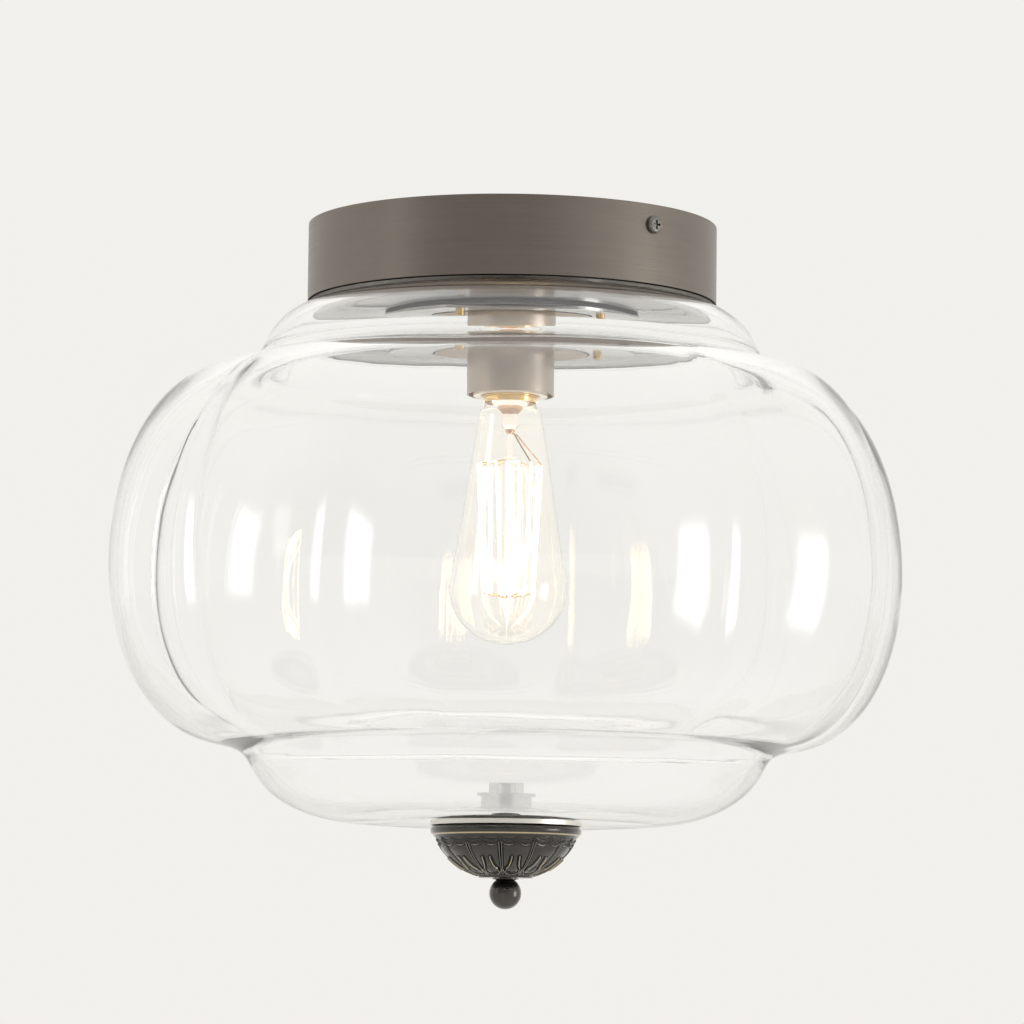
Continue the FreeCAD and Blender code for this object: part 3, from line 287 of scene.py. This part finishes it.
# The canopy. A round pan spun from sheet and brushed round its axis, then toned to a dark pewter; two
# black pan head screws hold its wall to the bracket's tabs.
def brushed(light, dark, roughness, marks=1.0):
    """Metal brushed round the light's axis: long streaks, faint handling smears and fine rings."""
    def paint(bench):
        where = bench.place()
        x, y, z = bench.parts(where)
        out = (x * x + y * y).maths("SQRT")
        rings = bench.vector(x / out * 1.6, y / out * 1.6, (z + out) * 900.0)
        streaks = bench.speckle(1.0, 4.0, rings, 0.7)
        broad = bench.speckle(1.0, 2.0, bench.vector(x / out * 2.4, y / out * 2.4, (z + out) * 120.0))
        smears = bench.speckle(26.0, 3.0, where)
        tone = streaks * 0.45 * marks + broad * 0.3 + smears * 0.25
        return {"Base Color": bench.mixed(tone, dark, light),
                "Roughness": roughness + (streaks - 0.5) * 0.16 * marks + (smears - 0.5) * 0.1,
                "Normal": bench.relief(streaks, 0.12 * marks, 0.00008)}
    return paint


def blackened(bench):
    """Oil-blacked steel with bright specks where the driver and fingers touched it."""
    rubbed = bench.eased(bench.speckle(1400.0), 0.5, 0.7)
    return {"Base Color": bench.mixed(rubbed, (0.16, 0.155, 0.145), (0.34, 0.33, 0.31)),
            "Roughness": 0.3 + bench.speckle(700.0) * 0.2,
            "Normal": bench.relief(bench.speckle(1200.0), 0.12)}


canopy_lip = -0.0393
lip_shadow_width = 0.0008


def toned_with_lip_shadow(bench):
    """Dark pewter, rougher and painted almost black along the lip that meets the glass: a painted shadow
    for the gap there.
    """
    _, _, z = bench.parts(bench.place())
    # Painted shadow: the lip goes almost black, standing for the shade in the gap to the glass.
    lip_shadow = bench.eased(z, canopy_lip + lip_shadow_width, canopy_lip + lip_shadow_width * 0.6)
    metal = brushed((0.258, 0.227, 0.199), (0.175, 0.153, 0.134), 0.3)(bench)
    return {**metal, "Base Color": bench.mixed(lip_shadow, metal["Base Color"], (0.006, 0.006, 0.006)),
            "Roughness": metal["Roughness"] + lip_shadow * 0.3}


pewter = finish("pewter_lip_shadow", {"Metallic": 1.0, "Anisotropic": 0.65}, toned_with_lip_shadow)
dress(pewter, "canopy_pan")
dress(finish("blackened_steel", {"Metallic": 0.9}, blackened), "canopy_side_screws")


# The threaded tube and what it carries inside the canopy: zinc-plated tube, washer and locknut, and
# the terminal block of white moulded plastic, with its clamp screws and the two covered leads.
def plated(light, dark, roughness, scale=700.0):
    """Plain plated or cast metal with a fine mottle and small dents."""
    def paint(bench):
        mottle = bench.speckle(scale)
        cloud = bench.speckle(scale / 8)
        return {"Base Color": bench.mixed(mottle * 0.5 + cloud * 0.5, dark, light),
                "Roughness": roughness + (mottle - 0.5) * 0.12 + (cloud - 0.5) * 0.12,
                "Normal": bench.relief(mottle, 0.1, 0.00008)}
    return paint


def moulded(light, dark, roughness):
    """Moulded plastic or rubber: a fine satin grain over an even colour."""
    def paint(bench):
        grain = bench.speckle(1500.0)
        cloud = bench.speckle(90.0)
        return {"Base Color": bench.mixed(grain * 0.3 + cloud * 0.7, dark, light),
                "Roughness": roughness + (grain - 0.5) * 0.15,
                "Normal": bench.relief(grain, 0.15)}
    return paint


dress(finish("zinc_plate", {"Metallic": 1.0}, plated((0.62, 0.6, 0.54), (0.48, 0.47, 0.43), 0.3)),
      "threaded_nipple", "nipple_washer", "nipple_locknut", "terminal_screws")
dress(finish("white_plastic", {}, moulded((0.82, 0.81, 0.77), (0.72, 0.71, 0.67), 0.42)), "terminal_block")
dress(finish("black_cover", {}, moulded((0.03, 0.03, 0.03), (0.015, 0.015, 0.015), 0.45)), "lead_live")
dress(finish("white_cover", {}, moulded((0.8, 0.79, 0.76), (0.7, 0.69, 0.66), 0.45)), "lead_neutral")


# The clamp that holds the glass: two soft rings, a bright steel plate with two flats, three threaded
# studs from the canopy floor and three slim brass nuts, which fingers turn up against the plate.
dress(finish("seal_rubber", {}, moulded((0.2, 0.2, 0.2), (0.13, 0.13, 0.13), 0.62)),
      "upper_gasket", "lower_gasket")
bright_steel = finish("bright_steel", {"Metallic": 1.0, "Anisotropic": 0.4},
                      brushed((0.62, 0.61, 0.6), (0.5, 0.49, 0.48), 0.16, 0.6))
dress(bright_steel, "retainer_ring")
brass = finish("turned_brass", {"Metallic": 1.0},
               plated((0.83, 0.62, 0.27), (0.6, 0.41, 0.15), 0.2, 1200.0))
dress(brass, "retainer_studs", "retainer_nuts")


# The lamp holder. A satin nickel dish and cup, spun and brushed, hide a glazed porcelain body with a
# rolled brass screw shell and a folded brass spring for the tip of the bulb.
def glazed(bench):
    """White glaze: hardly rough, slightly uneven where it pooled, with a few fine pits."""
    pool = bench.speckle(150.0)
    pits = bench.eased(bench.speckle(1800.0), 0.7, 0.75)
    return {"Base Color": bench.mixed(pits, (0.88, 0.86, 0.81), (0.6, 0.56, 0.5)),
            "Roughness": 0.12 + pool * 0.1 + pits * 0.3,
            "Normal": bench.relief(pool - pits, 0.1, 0.0002)}


satin_nickel = finish("satin_nickel", {"Metallic": 1.0, "Anisotropic": 0.5},
                      brushed((0.6, 0.522, 0.45), (0.46, 0.398, 0.342), 0.34, 0.7))
dress(satin_nickel, "socket_cup", "socket_collar")
# Painted glow: the porcelain's faint warm emission stands for the bulb's light falling on it.
dress(finish("glazed_porcelain_painted_glow", {"Coat Weight": 0.5, "Emission Color": (1.0, 0.8, 0.6, 1.0),
                                 "Emission Strength": 0.22}, glazed), "socket_insulator")
dress(brass, "socket_screw_shell", "socket_contact")


# The shade. Clear glass blown into a mould with eight soft lobes between a rounded neck and a plain
# bowl; the wall is an even 4 mm, a little wavy, with fire-polished edges at the mouth and the hole.
glass_wall = 0.0040
glass_top = -0.0391
mouth_radius = 0.0560
top_flat_radius = 0.0920
neck_round = 0.0330
neck_height = 0.0320
belly_above = 0.1000
belly_below = 0.0890
lobe_radius = 0.1986
valley_radius = 0.1848
swell_share = 0.78
lobe_azimuth = math.radians(12.5)
lobe_count = 8
bowl_radius = 0.1286
bowl_height = 0.0370
bowl_flat_radius = 0.0720
seat_rise = 0.0027
seat_radius = 0.0400
finial_hole_radius = 0.0052
mouth_steps, neck_steps, belly_steps, bowl_steps, foot_steps, seat_steps = 14, 16, 61, 18, 8, 9
shade_steps_round = 256
lobe_softness = 0.009
waviness = 0.0003
seam_gap = 1e-6
skin_rounds, edge_rounds = 4, 2


def shade_skin(skin):
    """The shade's half section from mouth to hole, shrunk by a skin: lobe radius, valley radius, height."""
    top, centre = glass_top - skin, glass_top - neck_round
    crease = glass_top - neck_height - skin
    middle_level = glass_top - neck_height - belly_above
    low_crease = middle_level - belly_below + skin
    foot = low_crease - bowl_height
    bend = neck_round - skin
    slope = math.asin((crease - centre) / bend)
    neck_side = top_flat_radius + bend * math.cos(slope)
    line = [(r, r, top) for r in np.linspace(mouth_radius, top_flat_radius, mouth_steps)]
    for turn in np.linspace(math.pi / 2, slope, neck_steps)[1:]:
        side = top_flat_radius + bend * math.cos(turn)
        line.append((side, side, centre + bend * math.sin(turn)))
    for turn in np.linspace(math.pi / 2, -math.pi / 2, belly_steps)[1:]:
        base = neck_side if turn > 0 else bowl_radius - skin
        span = crease - middle_level if turn > 0 else middle_level - low_crease
        swell = max(math.cos(turn), 0.0) ** swell_share
        line.append((base + (lobe_radius - skin - base) * swell,
                     base + (valley_radius - skin - base) * swell, middle_level + span * math.sin(turn)))
    for turn in np.linspace(0, math.pi / 2, bowl_steps)[1:]:
        side = bowl_flat_radius + (bowl_radius - skin - bowl_flat_radius) * math.cos(turn)
        line.append((side, side, low_crease - (low_crease - foot) * math.sin(turn)))
    seat = foot + seat_rise
    line += [(r, r, foot + seat_rise * (bowl_flat_radius - r) / (bowl_flat_radius - seat_radius))
             for r in np.linspace(bowl_flat_radius, seat_radius, foot_steps)[1:]]
    line += [(r, r, seat) for r in np.linspace(seat_radius, finial_hole_radius, seat_steps)[1:]]
    return line


def softened(line, rounds, closed=True):
    """A line whose corners are eased, without moving its straight runs; an open one keeps its ends."""
    points = np.array(line)
    ends = points[[0, -1]]
    for _ in range(rounds):
        points = points * 0.5 + (np.roll(points, 1, 0) + np.roll(points, -1, 0)) * 0.25
        if not closed:
            points[[0, -1]] = ends
    return points


def tree_with(name, entries):
    """An empty geometry tree with named inputs, each a kind and a value."""
    tree = bpy.data.node_groups.new(name, "GeometryNodeTree")
    tree.interface.new_socket("Geometry", in_out="INPUT", socket_type="NodeSocketGeometry")
    tree.interface.new_socket("Geometry", in_out="OUTPUT", socket_type="NodeSocketGeometry")
    for entry, kind in entries.items():
        tree.interface.new_socket(entry, in_out="INPUT", socket_type=f"NodeSocket{kind}")
    bench = Bench(tree)
    entrance = bench.node("NodeGroupInput")
    return tree, bench, {entry: bench.out(entrance, entry) for entry in ("Geometry", *entries)}


def grown(name, tree, section, values):
    """The plain mesh that a geometry tree makes from a section."""
    source = bpy.data.objects.new(name, section)
    bpy.context.scene.collection.objects.link(source)
    modifier = source.modifiers.new("growth", "NODES")
    modifier.node_group = tree
    for item in tree.interface.items_tree:
        if item.in_out == "INPUT" and item.name in values:
            modifier[item.identifier] = values[item.name]
    source.update_tag()
    bpy.context.view_layer.update()
    evaluated = source.evaluated_get(bpy.context.evaluated_depsgraph_get())
    grown_mesh = bpy.data.meshes.new_from_object(evaluated)
    bpy.data.objects.remove(source)
    piece = bpy.data.objects.new(name, grown_mesh)
    bpy.context.scene.collection.objects.link(piece)
    return piece


def faced_outwards(piece):
    """Closes a mesh's seams and turns all its faces outwards."""
    work = bmesh.new()
    work.from_mesh(piece.data)
    bmesh.ops.remove_doubles(work, verts=work.verts, dist=seam_gap)
    bmesh.ops.recalc_face_normals(work, faces=work.faces)
    for face in work.faces:
        face.smooth = True
    work.to_mesh(piece.data)
    work.free()
    return piece


def clear_glass(tint, depth=0.0001):
    """Clear glass with a faint tint, tiny ripples from the mould and a few dull specks."""
    def paint(bench):
        ripple = bench.speckle(18.0, 2.0)
        specks = bench.eased(bench.speckle(300.0), 0.72, 0.8)
        return {"Base Color": bench.mixed(ripple, tint, (1.0, 1.0, 1.0)),
                "Roughness": specks * 0.04,
                "Normal": bench.relief(ripple, 0.25, depth)}
    return paint


shade_tree, bench, entry = tree_with("lobed_shade", {
    "Lobes": "Int", "Lobe Azimuth": "Float", "Steps": "Int", "Softness": "Float",
    "Waviness": "Float", "Glass": "Material"})
section_count = bench.out(bench.node("GeometryNodeAttributeDomainSize", None,
                                     {"Geometry": entry["Geometry"]}), "Point Count")
sheet = bench.node("GeometryNodeMeshGrid", None, {
    "Size X": 1.0, "Size Y": 1.0, "Vertices X": entry["Steps"] + 1, "Vertices Y": section_count})
number = bench.out(bench.node("GeometryNodeInputIndex"))
row = (number / section_count).maths("FLOOR")
sample = bench.node("GeometryNodeSampleIndex", {"data_type": "FLOAT_VECTOR", "domain": "POINT"}, {
    "Geometry": entry["Geometry"], "Index": number - row * section_count,
    "Value": bench.out(bench.node("GeometryNodeInputPosition"))})
apex, valley, height = bench.parts(bench.out(sample))
turn = row / entry["Steps"] * math.tau
half_lobe = math.pi / entry["Lobes"]
from_lobe = (turn - entry["Lobe Azimuth"]).maths("WRAP", half_lobe, half_lobe * -1.0)
offset = (apex * apex - valley * valley) / (2.0 * (apex - valley * half_lobe.maths("COSINE")))


def lobe_reach(angle):
    """How far a lobe's arc stands from the axis at an angle from the lobe's middle."""
    sideways = offset * angle.maths("SINE")
    bend = apex - offset
    return offset * angle.maths("COSINE") + (bend * bend - sideways * sideways).maths("SQRT")


own_lobe = lobe_reach(from_lobe)
next_lobe = lobe_reach(half_lobe * 2.0 - from_lobe.maths("ABSOLUTE"))
swollen = (apex - valley) / (lobe_radius - valley_radius)
reach = own_lobe.maths("SMOOTH_MAX", next_lobe, entry["Softness"] * swollen)
around = bench.vector(turn.maths("SINE") * apex, turn.maths("COSINE") * apex, height)
ripple = bench.speckle(22.0, 1.0, around)
reach = reach - ripple * entry["Waviness"] * (apex / lobe_radius)
placed = bench.node("GeometryNodeSetPosition", None, {
    "Geometry": bench.out(sheet, "Mesh"),
    "Position": bench.vector(reach * turn.maths("SINE"), reach * turn.maths("COSINE") * -1.0, height)})
closed = bench.node("GeometryNodeMergeByDistance", None, {
    "Geometry": bench.out(placed), "Distance": seam_gap})
whole = bench.node("GeometryNodeRealizeInstances", None, {"Geometry": bench.out(closed)})
glazed_whole = bench.node("GeometryNodeSetMaterial", None, {
    "Geometry": bench.out(whole), "Material": entry["Glass"]})
bench.node("NodeGroupOutput", None, {"Geometry": bench.out(glazed_whole)})

outer_skin, inner_skin = (softened(shade_skin(skin), skin_rounds, False) for skin in (0.0, glass_wall))
section_line = softened(np.vstack([outer_skin, inner_skin[::-1]]), edge_rounds)
section_line = np.vstack([section_line, section_line[:1]])
section_mesh = bpy.data.meshes.new("shade_section")
section_mesh.from_pydata(section_line.tolist(), [], [])
shade_glass = finish("shade_glass", {"Transmission Weight": 1.0, "IOR": 1.5},
                     clear_glass((0.993, 0.997, 0.996), 0.0004))
shade = faced_outwards(grown("blown_shade", shade_tree, section_mesh, {
    "Lobes": lobe_count, "Lobe Azimuth": lobe_azimuth, "Steps": shade_steps_round,
    "Softness": lobe_softness, "Waviness": waviness, "Glass": shade_glass}))
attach(shade, "fixture")
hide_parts("glass_shade")


# The bulb. A long-filament lamp: rolled nickel-plated base with a dark glass insulator and a tip
# contact, clear faintly amber glass, a glass stem with fine wires, and a hot filament laced round them.
def hot_wire(bench):
    """A filament that glows a little unevenly along its length."""
    cool = bench.speckle(160.0)
    return {"Emission Color": bench.mixed(cool * 0.5, (1.0, 0.8, 0.42), (1.0, 0.66, 0.24)),
            "Base Color": bench.mixed(cool, (0.9, 0.6, 0.3), (0.8, 0.45, 0.2))}


dress(finish("base_nickel", {"Metallic": 1.0}, plated((0.86, 0.66, 0.36), (0.74, 0.52, 0.25), 0.2)),
      "bulb_base_shell", "bulb_base_contact")
dress(finish("dark_insulator", {"Coat Weight": 0.4}, moulded((0.06, 0.03, 0.06), (0.02, 0.012, 0.02), 0.2)),
      "bulb_base_insulator")
# Painted glow: the bulb glass's faint warm emission stands for the filament's light in it, not light of its
# own.
dress(finish("bulb_glass", {"Transmission Weight": 1.0, "IOR": 1.4, "Emission Color": (1.0, 0.85, 0.6, 1.0),
                            "Emission Strength": 0.02}, clear_glass((1.0, 0.985, 0.955))),
      "bulb_glass")
# Painted glow: the stem's pinkish emission stands for the filament's light refracted through it.
dress(finish("stem_glass", {"Transmission Weight": 1.0, "IOR": 1.4, "Emission Color": (1.0, 0.7, 0.55, 1.0),
                            "Emission Strength": 0.12}, clear_glass((1.0, 0.955, 0.92))),
      "bulb_stem")
dress(finish("fine_wire", {"Metallic": 1.0}, plated((0.78, 0.56, 0.42), (0.55, 0.38, 0.3), 0.3)),
      "bulb_supports", "bulb_lead_wires")
dress(finish("hot_filament", {"Emission Strength": 14.0}, hot_wire), "bulb_filament")


# The finial's fixings. A bush, washer, nut and gasket of pale clear plastic, with a painted glow, show
# through the bowl, and a plate of bright plated steel spreads the load under the glass and shows as a thin
# ring above the cap.
# Painted glow: the plastic's faint white emission makes it look lit and pale through the bowl.
clear_plastic = finish("clear_plastic", {
    "Transmission Weight": 0.5, "IOR": 1.3,
    "Emission Color": (1.0, 0.99, 0.97, 1.0), "Emission Strength": 0.09},
    moulded((0.98, 0.98, 0.97), (0.94, 0.94, 0.93), 0.2))
dress(clear_plastic, "finial_inner_nut", "finial_inner_washer", "finial_bushing", "finial_gasket")
dress(finish("bright_nickel", {"Metallic": 1.0, "Anisotropic": 0.3},
             brushed((0.94, 0.91, 0.86), (0.84, 0.81, 0.76), 0.42, 0.5)), "finial_trim_plate")


# The finial cap. A casting with a rolled rim over a dome of twelve leaves, with paired ribs between them
# and a scalloped garland above; it is bronzed nearly black, darkest in the hollows from patina and
# painted shade, and rubbed back to gold along the rim's lower edge and on the veins.
roll_radius = 0.0026
trim_under = -0.2974
cap_radius = 0.0372
dome_top_radius = 0.0360
dome_radius = 0.0401
dome_foot_radius = 0.0134
cap_lip = 0.0006
cap_wall = 0.0024
shank_hole_radius = 0.0032
leaf_count = 12
leaf_turn = math.radians(-4.8)
cap_steps_round = 800
roll_steps, dome_steps, vault_steps, curve_steps = 24, 84, 7, 14
edge_bevel = 0.0002

roll_side = cap_radius - roll_radius
roll_end = math.pi - math.asin((dome_top_radius - roll_side) / roll_radius)
dome_top = trim_under - roll_radius + roll_radius * math.cos(roll_end)
dome_centre = dome_top + math.sqrt(dome_radius**2 - dome_top_radius**2)
dome_foot = dome_centre - math.sqrt(dome_radius**2 - dome_foot_radius**2)
foot_turn = math.asin(dome_foot_radius / dome_radius)
top_turn = math.asin(dome_top_radius / dome_radius)
dome_length = dome_radius * (top_turn - foot_turn)

# Each leaf line: three guide points as (share of a leaf's half width from a rib, share of the dome's
# height), the line's half width and how far it stands up, in metres, and how bright it is rubbed.
leaf_lines = (
    (((0.075, 0.84), (0.075, 0.5), (0.06, 0.02)), 0.00022, 0.00075, 0.45),
    (((0.40, 0.28), (0.66, 0.32), (0.74, 0.56)), 0.00035, 0.00095, 1.0),
    (((0.26, 0.13), (0.36, 0.18), (0.40, 0.28)), 0.00024, 0.00055, 0.45),
    (((0.08, 0.24), (0.34, 0.04), (1.0, 0.055)), 0.00028, 0.00065, 0.5),
    (((1.0, 0.10), (0.90, 0.20), (0.93, 0.33)), 0.00018, 0.00025, 0.3),
)


def bezier(points, count):
    """Places along a smooth bend through three guide points."""
    (x0, y0), (x1, y1), (x2, y2) = points
    steps = np.linspace(0, 1, count)
    return [((1 - s)**2 * x0 + 2 * s * (1 - s) * x1 + s * s * x2,
             (1 - s)**2 * y0 + 2 * s * (1 - s) * y1 + s * s * y2) for s in steps]


hollow_place, hollow_spread = 2.0, 0.8


def ridge_and_hollow(away, half_width):
    """A rounded ridge and the narrow hollow beside it, from the distance to the ridge's line."""
    widths = away / half_width
    return np.exp(-widths ** 2), np.exp(-((widths - hollow_place) / hollow_spread) ** 2)


def from_line(across, up, girth, points):
    """How far each place on the dome is from one leaf line."""
    nearest = np.full(across.shape, 1.0)
    curve = bezier(points, curve_steps)
    for (a0, u0), (a1, u1) in zip(curve, curve[1:]):
        ax, ay = (across - a0) * girth, (up - u0) * dome_length
        bx, by = (a1 - a0) * girth, np.full(across.shape, (u1 - u0) * dome_length)
        share = np.clip((ax * bx + ay * by) / (bx * bx + by * by + 1e-12), 0, 1)
        nearest = np.minimum(nearest, np.hypot(ax - share * bx, ay - share * by))
    return nearest


garland_level, garland_dip, garland_gap, top_line_level = 0.845, 0.06, 0.075, 0.965
garland_ridge, garland_edge, top_line = (0.00030, 0.00055), (0.00026, 0.00045), (0.00025, 0.00035)
leaf_swell, hollow_depth, relief_sink = 0.0007, 0.0006, 0.0005
deepest_beside, no_hollow_above = 0.0005, 0.0003
leaf_foot, leaf_foot_rate, leaf_tip, leaf_tip_rate = 0.03, 6, 0.82, 8
garland_rub, garland_edge_rub = 0.75, 0.12


def leaf_relief(turns, ups, radii):
    """How far the leaves and the garland stand from the dome, how bright they are rubbed, how hollow."""
    pitch = math.tau / leaf_count
    across = np.abs((turns - leaf_turn + pitch / 2) % pitch - pitch / 2) / (pitch / 2)
    girth = radii * pitch / 2
    swing = np.sin(math.pi * across)
    lines = [(from_line(across, ups, girth, points), *rest) for points, *rest in leaf_lines]
    scallop = garland_level - garland_dip * swing**0.7
    lines.append((np.abs(ups - scallop) * dome_length, *garland_ridge, garland_rub * swing**3))
    lines.append((np.abs(ups - scallop - garland_gap) * dome_length, *garland_edge, garland_edge_rub))
    lines.append((np.abs(ups - top_line_level) * dome_length, *top_line, 0.0))
    stand, bright, hollow = (np.zeros(across.shape) for _ in range(3))
    for away, half_width, height, rub in lines:
        ridge, dip = ridge_and_hollow(away, half_width)
        stand = np.maximum(stand, height * ridge)
        bright = np.maximum(bright, rub * ridge**2)
        hollow = np.maximum(hollow, dip * height / deepest_beside)
    hollow = np.clip(hollow, 0, 1) * (1 - np.clip(stand / no_hollow_above, 0, 1))
    between = np.clip((ups - leaf_foot) * leaf_foot_rate, 0, 1)
    between = between * np.clip((leaf_tip - ups) * leaf_tip_rate, 0, 1)
    swell = leaf_swell * (1 - (1 - across) ** 3) * between
    return swell + stand - hollow_depth * hollow - relief_sink, bright, hollow


def ring_mesh(name, rings):
    """A closed mesh from rows of rings round the light's axis."""
    rows, steps = rings.shape[:2]
    here = np.arange(rows * steps).reshape(rows, steps)
    beside, below = np.roll(here, -1, 1), np.roll(here, -1, 0)
    faces = np.stack([here, beside, np.roll(below, -1, 1), below], -1).reshape(-1, 4)
    data = bpy.data.meshes.new(name)
    data.from_pydata(rings.reshape(-1, 3).tolist(), [], faces.tolist())
    piece = bpy.data.objects.new(name, data)
    bpy.context.scene.collection.objects.link(piece)
    return piece


mouth_of_cap = cap_radius - cap_wall - 2 * roll_radius
roll_level = trim_under - roll_radius
cap_line = [(mouth_of_cap, trim_under, 0.0)]
cap_line += [(roll_side + roll_radius * math.sin(a), roll_level + roll_radius * math.cos(a), 0.0)
             for a in np.linspace(0, roll_end, roll_steps)]
for share in np.linspace(1, 0, dome_steps)[1:]:
    angle = foot_turn + (top_turn - foot_turn) * share
    cap_line.append((dome_radius * math.sin(angle), dome_centre - dome_radius * math.cos(angle), share))
cap_foot = dome_foot - cap_lip
inner_dome = dome_radius - cap_wall
floor_up = dome_foot + cap_wall
cap_line += [(dome_foot_radius, cap_foot + edge_bevel, 0.0), (dome_foot_radius - edge_bevel, cap_foot, 0.0),
             (shank_hole_radius, cap_foot, 0.0), (shank_hole_radius, floor_up, 0.0)]
inside_foot = math.acos((dome_centre - floor_up) / inner_dome)
inside_top = math.asin(mouth_of_cap / inner_dome)
cap_line += [(inner_dome * math.sin(a), dome_centre - inner_dome * math.cos(a), 0.0)
             for a in np.linspace(inside_foot, inside_top, vault_steps)]
cap_line = np.array(cap_line)
turns = np.linspace(0, math.tau, cap_steps_round, endpoint=False)[None, :]
radii, levels, ups = (cap_line[:, i][:, None] + 0 * turns for i in range(3))
stand, bright, hollow = leaf_relief(turns + 0 * radii, ups, radii)
top_fade, foot_fade = 25, 40
edge_fade = np.clip((1 - ups) * top_fade, 0, 1) * np.clip(ups * foot_fade, 0, 1) * (ups > 0)
steepness = np.arcsin(np.clip(radii / dome_radius, 0, 1))
radii = radii + stand * edge_fade * np.sin(steepness)
levels = levels - stand * edge_fade * np.cos(steepness)
cap = ring_mesh("leaf_cap", np.stack([radii * np.sin(turns), -radii * np.cos(turns), levels], -1))
rim_line_width = 0.0002
on_roll = (ups == 0) & (radii > dome_top_radius - rim_line_width) & (levels < roll_level)
rim_line = on_roll * np.exp(-((levels - dome_top - rim_line_width) / rim_line_width) ** 2)
rubbed = np.maximum(bright * edge_fade, rim_line * 2)
for name, shares in (("rubbed", rubbed), ("hollow", hollow * edge_fade)):
    layer = cap.data.attributes.new(name, "FLOAT", "POINT")
    layer.data.foreach_set("value", shares.reshape(-1).astype(np.float32))
faced_outwards(cap)


def bronzed(bench):
    """Brown-black bronze, darker in its hollows from patina and painted shade, and rubbed back to pale gold
    on its high lines.
    """
    mark, hollows = (bench.out(bench.node("ShaderNodeAttribute", {"attribute_name": name}), "Fac")
                     for name in ("rubbed", "hollow"))
    patchy = bench.eased(bench.speckle(260.0), 0.35, 0.6)
    worn = bench.eased(mark, 0.1, 0.45)
    gold = bench.eased(mark * (0.6 + patchy * 0.4), 0.45, 0.85)
    cloud = bench.speckle(120.0)
    dark = bench.mixed(cloud, (0.03, 0.027, 0.024), (0.062, 0.057, 0.05))
    # Patina and painted shade: the hollows beside the raised lines go almost black.
    patina_and_shade = bench.mixed(hollows, dark, (0.005, 0.0045, 0.004))
    lifted = bench.mixed(worn, patina_and_shade, (0.3, 0.28, 0.245))
    return {"Base Color": bench.mixed(gold, lifted, (0.54, 0.42, 0.21)),
            "Roughness": 0.22 + hollows * 0.35 + gold * 0.1 + (bench.speckle(600.0) - 0.5) * 0.1,
            "Normal": bench.relief(bench.speckle(700.0), 0.1)}


lacquer = {"Metallic": 1.0, "Coat Weight": 0.7, "Coat Roughness": 0.2}
dark_bronze = finish("rubbed_bronze", lacquer, bronzed)
cap.data.materials.append(dark_bronze)
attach(cap, "fixture")
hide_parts("finial_cap")


# The finial knob. A turned ball with a short waisted neck, bronzed like the cap and polished by
# fingers; its shank passes up through the glass to the plastic nut.
def polished_bronze(bench):
    cloud = bench.speckle(140.0)
    return {"Base Color": bench.mixed(cloud, (0.04, 0.036, 0.032), (0.075, 0.069, 0.06)),
            "Roughness": 0.16 + bench.speckle(400.0) * 0.12,
            "Normal": bench.relief(bench.speckle(500.0), 0.06)}


dress(finish("polished_bronze", lacquer, polished_bronze), "finial_knob")

bpy.context.scene.view_settings.view_transform = "Standard"
